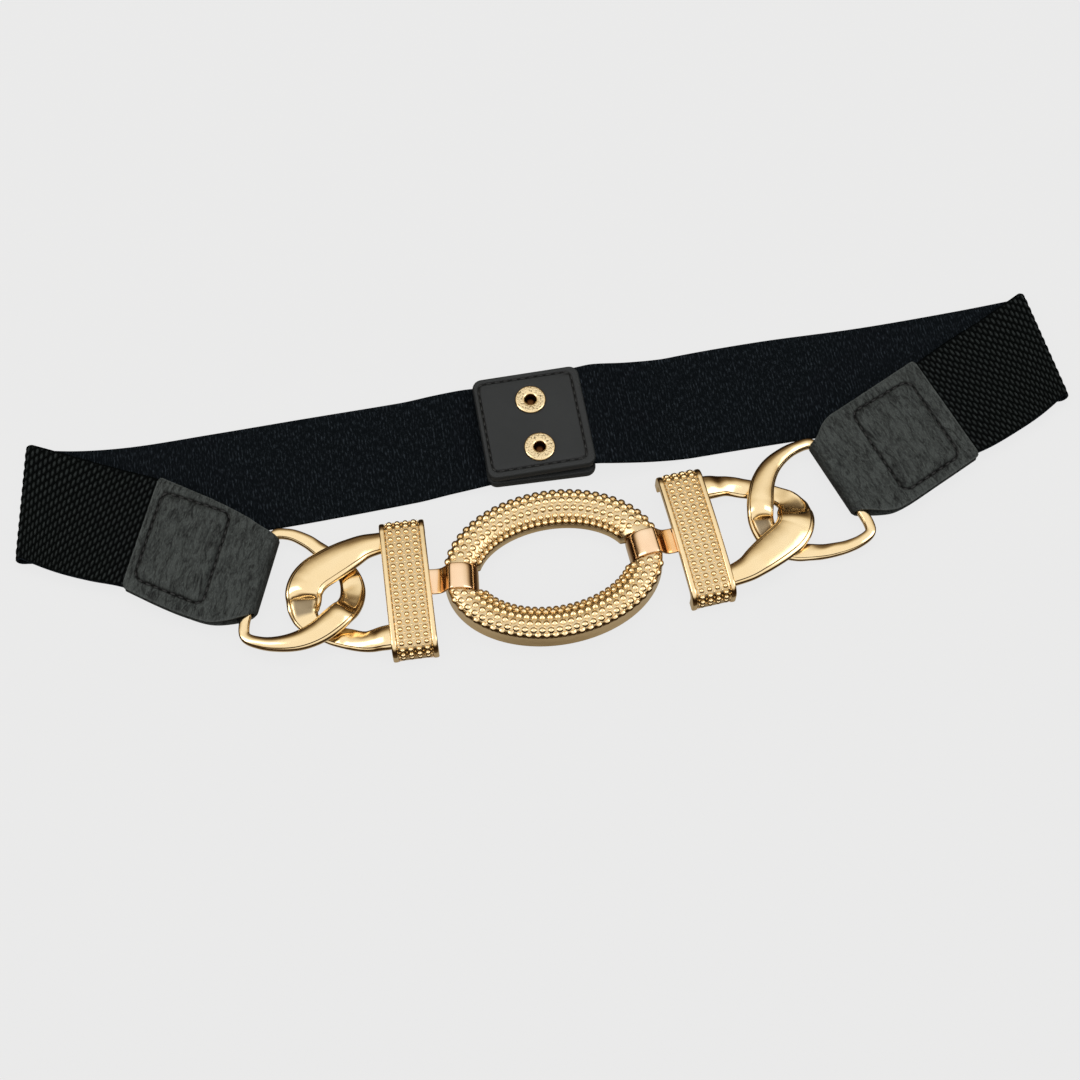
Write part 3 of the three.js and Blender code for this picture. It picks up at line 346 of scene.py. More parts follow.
def skin(grid, round_rows=False, slots=0, uv=None, mask=None):
    """A closed skin through a grid of points whose columns run round the shape. Open rows end in a fan
    round the middle of the first and of the last row. slots gives every column its material."""
    rows, columns = grid.shape[:2]
    points = grid.reshape(-1, 3)
    here = np.arange(columns)
    there = (here + 1) % columns
    spans = np.arange(rows if round_rows else rows - 1)[:, None]
    start, after = spans * columns, ((spans + 1) % rows) * columns
    quads = np.stack([start + here, start + there, after + there, after + here], axis=-1).reshape(-1, 4)
    tris = np.zeros((0, 3), int)
    face_slots = np.tile(np.zeros(columns, int) + slots, len(spans))
    flat_uv = None if uv is None else uv.reshape(-1, 2)
    flat_mask = None if mask is None else mask.reshape(-1)
    if not round_rows:
        first, last = len(points), len(points) + 1
        points = np.vstack([points, grid[0].mean(axis=0), grid[-1].mean(axis=0)])
        end = (rows - 1) * columns
        tris = np.vstack([
            np.stack([np.full(columns, first), there, here], axis=-1),
            np.stack([np.full(columns, last), end + here, end + there], axis=-1),
        ])
        if flat_uv is not None:
            flat_uv = np.vstack([flat_uv, uv[0].mean(axis=0), uv[-1].mean(axis=0)])
        if flat_mask is not None:
            flat_mask = np.concatenate([flat_mask, [mask[0].mean(), mask[-1].mean()]])
        face_slots = np.concatenate([face_slots, np.tile(np.zeros(columns, int) + slots, 2)])
    return Shape(points, quads, tris, face_slots, flat_uv, flat_mask).facing_out()


def copies(template, centres, axes, slots=0):
    """One template at every centre. axes holds three vectors for each copy, which the template's x, y and
    z are multiplied by and added up."""
    points, quads, tris = template
    placed = np.einsum("pk,nkj->npj", points, axes) + centres[:, None]
    offsets = (np.arange(len(centres)) * len(points))[:, None, None]
    return Shape(placed.reshape(-1, 3), quads[None] + offsets, tris[None] + offsets, slots)


def make_piece(name, shapes, materials, sharp=40.0):
    """Puts the shapes into one mesh at the origin, in metres, smooth but for edges sharper than an angle."""
    counts = np.cumsum([0] + [len(shape.points) for shape in shapes])
    points = np.vstack([shape.points for shape in shapes])
    loops, sizes, slots = [], [], []
    for shape, offset in zip(shapes, counts):
        for faces in (shape.quads, shape.tris):
            loops.append((faces + offset).ravel())
            sizes.append(np.full(len(faces), faces.shape[1]))
        slots.append(shape.slots)
    loops, sizes, slots = (np.concatenate(parts).astype(np.int32) for parts in (loops, sizes, slots))
    mesh = bpy.data.meshes.new(name)
    mesh.vertices.add(len(points))
    mesh.vertices.foreach_set("co", ((points + SHIFT) / MM).astype(np.float32).ravel())
    mesh.loops.add(len(loops))
    mesh.loops.foreach_set("vertex_index", loops)
    mesh.polygons.add(len(sizes))
    mesh.polygons.foreach_set("loop_start", (np.cumsum(sizes) - sizes).astype(np.int32))
    mesh.polygons.foreach_set("material_index", slots)
    mesh.polygons.foreach_set("use_smooth", np.ones(len(sizes), bool))
    uv = np.vstack([shape.uv for shape in shapes])
    mesh.uv_layers.new(name="surface_mm").data.foreach_set("uv", uv[loops].astype(np.float32).ravel())
    mask = np.concatenate([shape.mask for shape in shapes]).astype(np.float32)
    mesh.attributes.new("relief", "FLOAT", "POINT").data.foreach_set("value", mask)
    mesh.update(calc_edges=True)
    mesh.set_sharp_from_angle(angle=math.radians(sharp))
    for material in materials:
        mesh.materials.append(material)
    piece = bpy.data.objects.new(name, mesh)
    bpy.context.scene.collection.objects.link(piece)
    return piece


def stand_for(piece, node):
    """Puts a piece on the part's one body, an empty named body:root, in place of a node, which is hidden."""
    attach(piece, "root")
    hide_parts(node)


def drill(piece, spots, radius):
    """Round holes right through a piece: upright cylinders are cut away, and the result is kept."""
    turn = 2 * np.pi * np.arange(48) / 48
    around = np.stack([radius * np.cos(turn), radius * np.sin(turn)], axis=1)
    bores = []
    for spot in spots:
        grid = np.stack([
            np.column_stack([around + spot[:2], np.full(48, height)]) for height in (-2.0, 14.0)
        ])
        bores.append(skin(grid))
    cutter = make_piece("bores", bores, list(piece.data.materials))
    cut = piece.modifiers.new("holes", "BOOLEAN")
    cut.operation, cut.solver, cut.object = "DIFFERENCE", "EXACT", cutter
    bpy.context.view_layer.update()
    drilled = bpy.data.meshes.new_from_object(piece.evaluated_get(bpy.context.evaluated_depsgraph_get()))
    piece.modifiers.clear()
    piece.data = drilled
    bpy.data.objects.remove(cutter)


# Materials


def add_node(tree, kind, inputs=None, **settings):
    """Adds a node of a kind. settings are the node's own fields, and inputs gives each socket, by name or
    number, a value or another node's output to be linked to it."""
    node = tree.nodes.new(kind)
    for field, value in settings.items():
        setattr(node, field, value)
    for socket, value in (inputs or {}).items():
        if isinstance(value, bpy.types.NodeSocket):
            tree.links.new(value, node.inputs[socket])
        else:
            node.inputs[socket].default_value = value
    return node


def start_material(name, **shader):
    """A material with its shader's constants set on the sockets, and the place on the object in mm.
    Returns the material, its tree, the shader and that vector."""
    material = bpy.data.materials.new(name)
    material.use_nodes = True
    tree = material.node_tree
    tree.nodes.clear()
    output = add_node(tree, "ShaderNodeOutputMaterial")
    constants = {key.replace("_", " ").title().replace("Ior", "IOR"): value for key, value in shader.items()}
    principled = add_node(tree, "ShaderNodeBsdfPrincipled", constants)
    tree.links.new(principled.outputs["BSDF"], output.inputs["Surface"])
    place = add_node(tree, "ShaderNodeTexCoord")
    scaled = {0: place.outputs["Object"], "Scale": MM}
    in_mm = add_node(tree, "ShaderNodeVectorMath", scaled, operation="SCALE")
    return material, tree, principled, in_mm.outputs["Vector"]


def rgba(colour, share=1.0):
    """A colour with full opacity, made darker or lighter by a share."""
    return (*(share * c for c in colour), 1.0)


def noise_node(tree, vector, scale, detail, **more):
    """Soft noise about 0.5. more names other sockets."""
    inputs = {"Vector": vector, "Scale": scale, "Detail": detail, **more}
    return add_node(tree, "ShaderNodeTexNoise", inputs).outputs["Fac"]


def wave_node(tree, vector, scale, distortion):
    """Soft bands from 0 to 1 that follow each other along X."""
    inputs = {"Vector": vector, "Scale": scale, "Distortion": distortion, "Detail": 2.0}
    return add_node(tree, "ShaderNodeTexWave", inputs, bands_direction="X").outputs["Fac"]


def stretch_node(tree, vector, scale):
    """The vector scaled along each axis."""
    return add_node(tree, "ShaderNodeMapping", {"Vector": vector, "Scale": scale}).outputs["Vector"]


def remap_node(tree, value, source=(0.0, 1.0), target=(0.0, 1.0)):
    """The value carried in a straight line from the source range to the target range, and kept in it."""
    limits = dict(zip(("From Min", "From Max", "To Min", "To Max"), source + target))
    return add_node(tree, "ShaderNodeMapRange", {"Value": value, **limits}).outputs["Result"]


def math_node(tree, operation, *values, **settings):
    """Arithmetic on the values."""
    node = add_node(tree, "ShaderNodeMath", dict(enumerate(values)), operation=operation, **settings)
    return node.outputs["Value"]


def mix_node(tree, factor, first, second):
    """The first colour where the factor is 0 and the second where it is 1."""
    inputs = {"Factor": factor, 6: first, 7: second}
    return add_node(tree, "ShaderNodeMix", inputs, data_type="RGBA").outputs[2]


def bump_node(tree, height, strength, distance, invert=False, **more):
    """A normal tilted by the slope of the height. more names other sockets."""
    inputs = {"Height": height, "Strength": strength, "Distance": distance, **more}
    return add_node(tree, "ShaderNodeBump", inputs, invert=invert).outputs["Normal"]


def piece_attribute(tree, name="relief"):
    """The mask that a piece's mesh carries at its points."""
    return add_node(tree, "ShaderNodeAttribute", attribute_name=name).outputs["Fac"]


def surface_mm(tree):
    """The place on the unrolled surface in mm."""
    return add_node(tree, "ShaderNodeUVMap", uv_map="surface_mm").outputs["UV"]


def link_shader(tree, shader, colour, rough=None, normal=None):
    """Links what is given to the shader's colour, roughness and normal."""
    for socket, value in (("Base Color", colour), ("Roughness", rough), ("Normal", normal)):
        if value is not None:
            tree.links.new(value, shader.inputs[socket])


def plated_casting(name, colour, deep):
    """Pale gold plate on a polished zinc casting: bright and very slightly wavy, a little deeper in colour
    here and there. In the links' hollows, and by 0.3 on the beaded fields, the colour is mixed towards dark
    brown as painted shade, and the surface is rougher."""
    material, tree, shader, place = start_material(name, metallic=1.0)
    plate = mix_node(tree, noise_node(tree, place, 0.12, 3.0), rgba(colour), rgba(deep))
    hollow = piece_attribute(tree)
    # Dark brown laid in the hollows and beaded fields as painted shade
    hollow_shade_colour = rgba(tuple(share * c for share, c in zip((0.2, 0.19, 0.2), colour)))
    polish = remap_node(tree, noise_node(tree, place, 0.9, 4.0), target=(0.1, 0.19))
    rough = math_node(tree, "MULTIPLY_ADD", hollow, 0.25, polish)
    wavy = bump_node(tree, noise_node(tree, place, 0.28, 1.0), 0.05, 0.0008)
    grainy = bump_node(tree, noise_node(tree, place, 7.0, 2.0), 0.04, 0.0001, Normal=wavy)
    link_shader(tree, shader, mix_node(tree, hollow, plate, hollow_shade_colour), rough, grainy)
    return material


def plated_strip(name, colour, deep):
    """Rose gold plate on rolled sheet: smooth, with faint long haze across the strip."""
    material, tree, shader, place = start_material(name, metallic=1.0)
    colours = mix_node(tree, noise_node(tree, place, 0.1, 2.0), rgba(colour), rgba(deep))
    brushed = noise_node(tree, stretch_node(tree, place, (1.1, 0.08, 1.0)), 1.0, 2.0)
    rough = remap_node(tree, brushed, target=(0.08, 0.17))
    link_shader(tree, shader, colours, rough, bump_node(tree, brushed, 0.03, 0.0002))
    return material


def pebbled_leather(name, colour, light):
    """Soft black cowhide with a pressed grain, about 0.8 mm across and drawn out across the band where the
    hide was pulled. Its colour follows the grain's relief, blue-grey on the tops and near black in the
    creases, partly painted highlight and shade. It is lighter at the cut edges, near black in the stitched
    groove and darkened by half on the roll round the bar, both as painted shade."""
    material, tree, shader, place = start_material(name, specular_ior_level=0.16)
    surface = surface_mm(tree)
    grain = {"Vector": stretch_node(tree, surface, (1.5, 0.6, 1.0)), "Scale": 1.0}
    cells = add_node(tree, "ShaderNodeTexVoronoi", grain, feature="DISTANCE_TO_EDGE")
    pebble = remap_node(tree, cells.outputs["Distance"], source=(0.0, 0.3))
    streaks = stretch_node(tree, surface, (0.62, 0.2, 1.0))
    creases = noise_node(tree, streaks, 1.0, 6.0, Roughness=0.6, Distortion=1.2)
    fold = remap_node(tree, creases, source=(0.34, 0.58))
    # Colour follows the grain's relief: lighter tops and darker creases, partly painted highlight and shade
    tone = math_node(tree, "MULTIPLY_ADD", pebble, 0.35, fold)
    shade = math_node(tree, "MULTIPLY_ADD", noise_node(tree, place, 0.12, 3.0), 0.5, tone)
    base = mix_node(tree, remap_node(tree, shade, source=(0.3, 1.5)), rgba(colour), rgba(light))
    seam = piece_attribute(tree)
    # The mask darkens the stitched groove and the roll round the bar as painted shade
    stitched = mix_node(tree, seam, base, rgba(colour, 0.08))
    cut = math_node(tree, "MULTIPLY", seam, -1.0, use_clamp=True)
    final = mix_node(tree, cut, stitched, rgba(light, 1.5))
    rough = remap_node(tree, pebble, target=(0.8, 0.5))
    height = math_node(tree, "MULTIPLY_ADD", pebble, 0.5, fold)
    link_shader(tree, shader, final, rough, bump_node(tree, height, 0.8, 0.0002))
    return material


def smooth_leather(name, colour, light):
    """Coated split leather: matte and even, with a very fine pore grain, and pressed lines darkened near
    black as painted shade.
    """
    material, tree, shader, place = start_material(name, specular_ior_level=0.2)
    pores = noise_node(tree, place, 2.6, 4.0)
    base = mix_node(tree, noise_node(tree, place, 0.07, 3.0), rgba(colour), rgba(light))
    # The mask darkens the stitched groove near black: painted shade
    final = mix_node(tree, piece_attribute(tree), base, rgba(colour, 0.05))
    rough = remap_node(tree, pores, target=(0.42, 0.62))
    link_shader(tree, shader, final, rough, bump_node(tree, pores, 0.2, 0.0001))
    return material


def yarn_floats(tree, surface, pitch, length):
    """Height from 0 to 1 of the yarn floats: columns of slanting ovals a pitch apart along the band, a
    length apart across it, every second column moved by half of that."""
    both = []
    for half in (0.0, 0.5):
        shares = {0: surface, 1: (0.5 / pitch, 1 / length, 0.0), 2: (half, half, 0.0)}
        cells = add_node(tree, "ShaderNodeVectorMath", shares, operation="MULTIPLY_ADD")
        inside = add_node(tree, "ShaderNodeVectorMath", {0: cells.outputs["Vector"]}, operation="FRACTION")
        middle = {0: inside.outputs["Vector"], 1: (0.5, 0.5, 0.0)}
        centred = add_node(tree, "ShaderNodeVectorMath", middle, operation="SUBTRACT")
        slant = {
            "Vector": centred.outputs["Vector"], "Scale": (2 * pitch, length, 1.0),
            "Rotation": (0.0, 0.0, FLOAT_SLANT),
        }
        slanted = add_node(tree, "ShaderNodeMapping", slant).outputs["Vector"]
        sizes = {0: slanted, 1: (1 / (FLOAT_WIDTH * pitch), 1 / (FLOAT_REACH * length), 0.0)}
        oval = add_node(tree, "ShaderNodeVectorMath", sizes, operation="MULTIPLY")
        away = add_node(tree, "ShaderNodeVectorMath", {0: oval.outputs["Vector"]}, operation="LENGTH")
        both.append(remap_node(tree, away.outputs["Value"], source=(1.0, FLOAT_FLAT)))
    return math_node(tree, "MAXIMUM", *both)


def woven_outer(name, colour, light, pitch, length, relief):
    """Outer face of the webbing: raised floats of matte black yarn, lighter on their tops by a random share
    as painted highlight, on a black ground with fine yarn lines 0.45 mm apart. The floats end 1 mm from the
    edges."""
    material, tree, shader, _ = start_material(name, specular_ior_level=0.03, roughness=0.7)
    surface = surface_mm(tree)
    floats = math_node(tree, "MULTIPLY", yarn_floats(tree, surface, pitch, length), piece_attribute(tree))
    blotch = noise_node(tree, surface, 0.6, 3.0)
    uneven = remap_node(tree, blotch, source=(0.3, 0.7), target=(0.35, 1.0))
    # The floats' tops take the lighter colour as painted highlight
    base = mix_node(tree, math_node(tree, "MULTIPLY", floats, uneven), rgba(colour), rgba(light))
    height = math_node(tree, "MULTIPLY_ADD", wave_node(tree, surface, 0.35, 0.6), 0.2, floats)
    link_shader(tree, shader, base, normal=bump_node(tree, height, 0.5, relief))
    return material


def woven_inner(name, colour, light):
    """Inner face of the webbing: flat black ribs across the band, about 1 mm apart, with short lighter
    lengths of yarn scattered along them, fullest on the ribs' crests as painted highlight."""
    material, tree, shader, _ = start_material(name, specular_ior_level=0.03, roughness=0.8)
    surface = surface_mm(tree)
    ribs = wave_node(tree, surface, 0.3, 1.0)
    grain = noise_node(tree, stretch_node(tree, surface, (1.5, 0.5, 1.0)), 1.0, 3.0, Roughness=0.7)
    lift = remap_node(tree, grain, source=(0.5, 0.72))
    # The lighter yarn shows most on the ribs' crests: painted highlight on the yarn's own tone
    yarn = remap_node(tree, ribs, target=(0.25, 1.0))
    base = mix_node(tree, math_node(tree, "MULTIPLY", lift, yarn), rgba(colour), rgba(light))
    height = math_node(tree, "ADD", ribs, grain)
    link_shader(tree, shader, base, normal=bump_node(tree, height, 0.5, 0.0002))
    return material


def waxed_thread(name, colour):
    """Waxed polyester sewing thread: black, slightly shiny, twisted every 0.8 mm."""
    material, tree, shader, place = start_material(name, specular_ior_level=0.5)
    twist = noise_node(tree, place, 2.5, 2.0)
    base = mix_node(tree, twist, rgba(colour), rgba(colour, 2.2))
    link_shader(tree, shader, base, remap_node(tree, twist, target=(0.35, 0.6)))
    return material


# Webbing


def float_relief(along, beside, pitch, length):
    """Height from 0 to 1 of the yarn floats, where the material has them: 1 less the distance from a
    float's middle, in shares of its half width and half length, cut off at 0 and where it is flat."""
    height = np.zeros(np.broadcast(along, beside).shape)
    for half in (0.0, 0.5):
        u, v = 0.5 * along / pitch + half, beside / length + half
        du, dv = (u - np.floor(u) - 0.5) * 2 * pitch, (v - np.floor(v) - 0.5) * length
        x = np.cos(FLOAT_SLANT) * du - np.sin(FLOAT_SLANT) * dv
        y = np.sin(FLOAT_SLANT) * du + np.cos(FLOAT_SLANT) * dv
        away = np.hypot(x / (FLOAT_WIDTH * pitch), y / (FLOAT_REACH * length))
        height = np.maximum(height, np.clip((1 - away) / (1 - FLOAT_FLAT), 0, 1))
    return height


def band_rows(side):
    """The band's middle line: the back, a half circle round the fold line, and the front."""
    back, front = smooth_rows(BAND_BACKS[side], 8), smooth_rows(BAND_FRONTS[side], 8)
    sign = -1 if side == "left" else 1
    angle = np.radians(back[-1, 3])
    outward = sign * np.array([abs(np.sin(angle)), -np.cos(angle), 0])
    turn = np.pi * np.arange(1, 16) / 16
    turned = np.repeat(back[-1:], len(turn), axis=0)
    turned[:, :3] += outward * FOLD_RADIUS * np.sin(turn)[:, None]
    turned[:, 2] += FOLD_RADIUS * (1 - np.cos(turn))
    rows = np.vstack([back, turned, front])
    rows[:, 2] = np.maximum(rows[:, 2], ELASTIC_Z)
    return rows


def webbing(side, pitch, length, relief):
    """A flat section with rounded selvedges carried along the middle line. The outer face carries the yarn
    floats, and the mask, which is 1 there, fades out at the selvedges."""
    rows, distances = even_rows(band_rows(side), WEBBING_STEP)
    centres, widths = rows[:, :3], rows[:, 4]
    across = plan_turn(rows[:, 3])
    along = unit(np.gradient(centres, axis=0))
    outer = unit(np.cross(across, along)) * (-1 if side == "left" else 1)
    woven, plain = WOVEN_COLUMNS, PLAIN_COLUMNS
    beside = np.concatenate([np.linspace(-1, 1, woven), [1.0], np.linspace(1, -1, plain), [-1.0]])
    level = np.concatenate([np.ones(woven), [0.0], -np.ones(plain), [0.0]])
    tuck = 0.35 * ((np.abs(beside) > 0.999) & (level != 0))
    offset = beside * (widths[:, None] / 2 - tuck)
    mask = smooth_step(0.5, 1.3, widths[:, None] / 2 - np.abs(offset)) * (level > 0)
    floats = mask * float_relief(distances[:, None], offset, pitch, length)
    lift = level * ELASTIC_THICKNESS / 2 - (level > 0) * relief * (1 - floats)
    grid = centres[:, None] + across[:, None] * offset[..., None] + outer[:, None] * lift[..., None]
    grid[..., 2] = np.maximum(grid[..., 2], 0)
    uv = np.stack([np.broadcast_to(distances[:, None], offset.shape), offset], axis=-1)
    slots = np.where(np.arange(len(beside)) < woven, 0, 1)
    return skin(grid, slots=slots, uv=uv, mask=mask), float(distances[-1])


# Leather tabs


def fold_height(x, inset):
    """Height of the folded leather over the middle of the bar: flat along the band, then swelling by
    3 t squared minus 2 t cubed to the roll round the bar."""
    return TAB_FLAT - inset + (TAB_ROLL - TAB_FLAT) * smooth_step(TAB_SWELL_START, 0, x)


def fold_line(start, inset, step):
    """Side view of the fold: over the top to the bar, half round it, and back underneath. Columns are x,
    height and the distance along the leather."""
    over = np.linspace(start, 0, int(-start / step))
    turn = np.linspace(np.pi / 2, -np.pi / 2, 18)[1:-1]
    roll = TAB_ROLL - inset
    under = np.linspace(0, start, 48)
    x = np.concatenate([over, roll * np.cos(turn), under])
    z = np.concatenate([fold_height(over, inset), roll * np.sin(turn), -fold_height(under, inset)])
    along = np.concatenate([over, TAB_ROLL * (np.pi / 2 - turn), TAB_ROLL * np.pi - under])
    return x, z, along


def window_inset(x, y, window):
    """Distance from the edge of a window with rounded corners, positive inside: the nearer end and the
    nearer side, joined by a circle of 3 mm at the corners."""
    corner = 3.0
    ends = np.minimum(x - window[0, 0], window[1, 0] - x)
    low = np.interp(x, window[:, 0], window[:, 1])
    high = np.interp(x, window[:, 0], window[:, 2])
    sides = np.minimum(y - low, high - y)
    round_off = corner - np.hypot(np.maximum(corner - ends, 0), np.maximum(corner - sides, 0))
    nearest = np.minimum(ends, sides)
    return np.where(nearest > corner, nearest, round_off)


def tab_relief(x, y, window, rise, seed):
    """Height over the flat leather: a raised pad inside the window, a stitched groove round it, creases
    that run across the band, and puckers that fade inwards from the stitches."""
    inset = window_inset(x, y, window)
    pad = rise * smooth_step(0, 2.2, inset) + 0.3 * rise * smooth_step(2.2, 11, inset)
    groove = 0.6 * np.exp(-((inset + 0.25) / 0.45) ** 2)
    margin = 0.16 * np.exp(-((inset + 2.4) / 1.3) ** 2)
    spot = np.stack([x, y], axis=-1)
    creases = 0.13 * value_noise(spot / (1.0, 3.6), 1.3, seed) + 0.06 * value_noise(spot, 2.1, seed + 1)
    puckers = 0.36 * value_noise(spot / (1.0, 5.0), 1.7, seed + 2) * np.exp(-np.maximum(inset, 0) / 2.6)
    return pad - groove + margin + creases + puckers * (inset > 0), groove / 0.6


def tab_outline(side, x):
    """Low and high edge of the leather at x: a smooth curve through the table, with the corners at the
    band's end rounded by a circle of 1.2 mm."""
    table = TAB_EDGES[side]
    rows = smooth_rows(np.column_stack([table[:, 0], np.zeros((len(table), 2)), table[:, 1:]]), 8)
    corner = 1.2
    reach = np.clip(1 - (x - table[0, 0]) / corner, 0, 1)
    trim = corner * (1 - np.sqrt(1 - reach**2))
    return np.interp(x, rows[:, 0], rows[:, 3]) + trim, np.interp(x, rows[:, 0], rows[:, 4]) - trim


def tab_leather(side, rise):
    """The leather as two surfaces a leather's thickness apart, each a grid of the fold's side view and the
    way across, joined at the cut edges, which are rounded."""
    window, start = WINDOW_EDGES[side], TAB_EDGES[side][0, 0]
    part = np.linspace(0, 1, 96)
    x, z, along = fold_line(start, 0, 0.42)
    low, high = tab_outline(side, np.minimum(x, TAB_ROLL))
    y = low[:, None] + (high - low)[:, None] * part
    on_top = (z > 0)[:, None] & (x <= 0)[:, None]
    relief, groove = tab_relief(np.broadcast_to(x[:, None], y.shape), y, window, rise, 11)
    fade = smooth_step(0, 3.5, -x)[:, None]
    edge = np.minimum(y - low[:, None], high[:, None] - y)
    rounding = 0.4 * (1 - smooth_step(0, 0.9, edge))
    lift = np.where(on_top, relief * fade, 0) - rounding
    slope_x, slope_z = np.gradient(x), np.gradient(z)
    normal = unit(np.stack([-slope_z, np.zeros_like(x), slope_x], axis=-1))
    outer = np.stack([np.broadcast_to(x[:, None], y.shape), y, np.broadcast_to(z[:, None], y.shape)], axis=-1)
    outer = outer + normal[:, None] * lift[..., None]
    ix, iz, _ = fold_line(start, LEATHER, 0.42)
    inner = np.stack([
        np.broadcast_to(ix[:, None], y.shape), y, np.broadcast_to(iz[:, None], y.shape)
    ], axis=-1)
    grid = np.concatenate([outer, inner[:, ::-1]], axis=1)
    grid[..., 2] += FRONT_Z
    uv = np.stack([np.broadcast_to(along[:, None], y.shape), y], axis=-1)
    uv = np.concatenate([uv, uv[:, ::-1]], axis=1)
    rim = np.exp(-(np.minimum(edge, x[:, None] - start) / 0.4) ** 2) * (x <= 0)[:, None]
    # Painted shade: near black in the stitched groove round the window and half dark on the roll round the
    # bar. The rim takes it below 0, which lightens the cut edges.
    dark = (
        np.where(on_top, np.minimum(1.7 * groove, 1) * fade, 0)
        + 0.5 * smooth_step(1, 3, x)[:, None] - 0.6 * rim
    )
    mask = np.concatenate([np.clip(dark, -1, 1), np.zeros_like(y)], axis=1)
    return skin(in_plan(grid, TAB_PLACES[side]), uv=uv, mask=mask)


def rounded_loop(corners, radius, steps):
    """A closed line through cut corners: near each corner it follows the parabola between the two points
    that lie a radius away along its sides."""
    before = unit(np.roll(corners, 1, axis=0) - corners)
    after = unit(np.roll(corners, -1, axis=0) - corners)
    t = np.linspace(0, 1, steps)[None, :, None]
    start, end = (corners + radius * before)[:, None], (corners + radius * after)[:, None]
    middle = corners[:, None]
    return ((1 - t) ** 2 * start + 2 * t * (1 - t) * middle + t**2 * end).reshape(-1, corners.shape[1])


def stitches(line, heights, pitch, thickness):
    """Thread stitches along a closed line: an ellipsoid for each pitch, as long as three quarters of it,
    whose ends dip into the leather. heights gives the surface at each place."""
    closed = np.vstack([line, line[:1]])
    length = np.concatenate([[0], np.cumsum(np.linalg.norm(np.diff(closed[:, :2], axis=0), axis=1))])
    count = int(length[-1] / pitch)
    at = (np.arange(count) + 0.5) * length[-1] / count
    spots = np.stack([np.interp(at, length, column) for column in closed.T], axis=1)
    ahead = np.stack([np.interp((at + 0.2) % length[-1], length, column) for column in closed.T], axis=1)
    direction = unit(np.column_stack([(ahead - spots)[:, :2], np.zeros(count)]))
    beside = np.cross([0.0, 0.0, 1.0], direction)
    up = np.tile([0.0, 0.0, 1.0], (count, 1))
    axes = np.stack([beside * thickness / 2, direction * pitch * 0.38, up * thickness * 0.45], axis=1)
    centres = np.column_stack([spots[:, :2], heights(spots[:, 0], spots[:, 1]) + 0.02])
    return centres, axes


def tab_stitches(side, rise, pitch, thickness):
    """Stitches in the groove round a tab's window, 0.25 mm outside it."""
    window = WINDOW_EDGES[side]
    (xa, la, ha), (xb, lb, hb) = window
    out = 0.25
    corners = np.array([
        (xa - out, la - out), (xb + out, lb - out), (xb + out, hb + out), (xa - out, ha + out)
    ])
    line = rounded_loop(corners, 3.2, 9)

    def heights(x, y):
        return FRONT_Z + fold_height(x, 0) + tab_relief(x, y, window, rise, 11)[0]

    centres, axes = stitches(line, heights, pitch, thickness)
    place = TAB_PLACES[side]
    turned = in_plan(axes, (0, 0, place[2]))
    return copies(ball(5, 8), in_plan(centres, place), turned, slots=1)


# Links and plates


def wire_link(rows, closed, dents, hollow_shade_share, steps=12):
    """A section carried along the wire, in shares of half its width and half its height. The top face is
    crowned or hollowed: it lies at 0.62 plus its crown times 1 less a power of its share of the face, 2 where
    it is crowned and 8 where it is hollow. A steep lip and a flatter bevel lead down to upright sides and a
    flat underside. The lower the wire lies, the more it is hammered. Returns the points, and each point's
    share of painted shade and extra roughness, which is more than 0 only in the hollow."""
    fine = smooth_rows(rows, steps, closed)
    points, crown = fine[:, :3], fine[:, 5, None]
    across, above = wire_frame(points, closed)
    share = np.sin(np.pi / 2 * np.linspace(1, -1, 25))
    power = np.where(crown > 0, 2.0, 8.0)
    top = 0.62 + crown * (1 - np.abs(share) ** power)
    edge = np.array([
        (-0.755, 0.56), (-0.785, 0.46), (-0.83, 0.42), (-0.91, 0.34), (-0.97, 0.18), (-1, -0.08),
        (-0.98, -0.4), (-0.9, -0.7), (-0.8, -0.8), (-0.4, -0.8),
    ])
    under = np.vstack([edge, [(0, -0.8)], edge[::-1] * (-1, 1)])
    beside = np.concatenate([0.74 * share, under[:, 0]])
    level = np.hstack([top, np.repeat(under[None, :, 1], len(fine), axis=0)])
    grid = (
        points[:, None]
        + across[:, None] * (fine[:, 3, None] / 2 * beside)[..., None]
        + above[:, None] * (fine[:, 4, None] / 2 * level)[..., None]
    )
    low = 1 - smooth_step(3.0, 6.0, points[:, 2, None])
    push = dents * (0.04 + 0.96 * low) * value_noise(grid, 3.4, 5)
    # The hollowed face takes painted shade, fading out towards its edges
    hollow = hollow_shade_share * smooth_step(0.12, 0.3, -crown) * (1 - smooth_step(0.62, 0.9, np.abs(share)))
    mask = np.hstack([hollow, np.zeros((len(fine), len(under)))])
    return grid + above[:, None] * push[..., None], mask


def plate_line(distances):
    """Side view of the plate: a low crown, a quarter circle at each end and a straight foot. Columns are y,
    z and the tilt of the outer face at each distance from the middle."""
    half = PLATE_LENGTH / 2
    foot = PLATE_HEIGHT - PLATE_END_RADIUS - PLATE_CROWN
    flat = half - PLATE_END_RADIUS
    arc = np.pi / 2 * PLATE_END_RADIUS
    away = np.abs(distances)
    tilt = np.clip((away - flat) / PLATE_END_RADIUS, 0, np.pi / 2)
    crown = PLATE_CROWN * np.clip(1 - (away / flat) ** 2, 0, 1)
    y = np.minimum(away, flat) + PLATE_END_RADIUS * np.sin(tilt)
    z = foot + PLATE_END_RADIUS * np.cos(tilt) + crown - np.maximum(away - flat - arc, 0)
    sign = np.sign(distances)
    return np.stack([sign * y, z, sign * tilt], axis=1), flat + arc + foot


def plate_points(distances):
    """Points on the middle of the plate's outer face and the direction out of it, at each distance along
    it."""
    line, _ = plate_line(distances)
    outward = np.stack([np.zeros(len(line)), np.sin(line[:, 2]), np.cos(line[:, 2])], axis=1)
    middle = np.column_stack([np.zeros(len(line)), line[:, :2]])
    return middle, outward


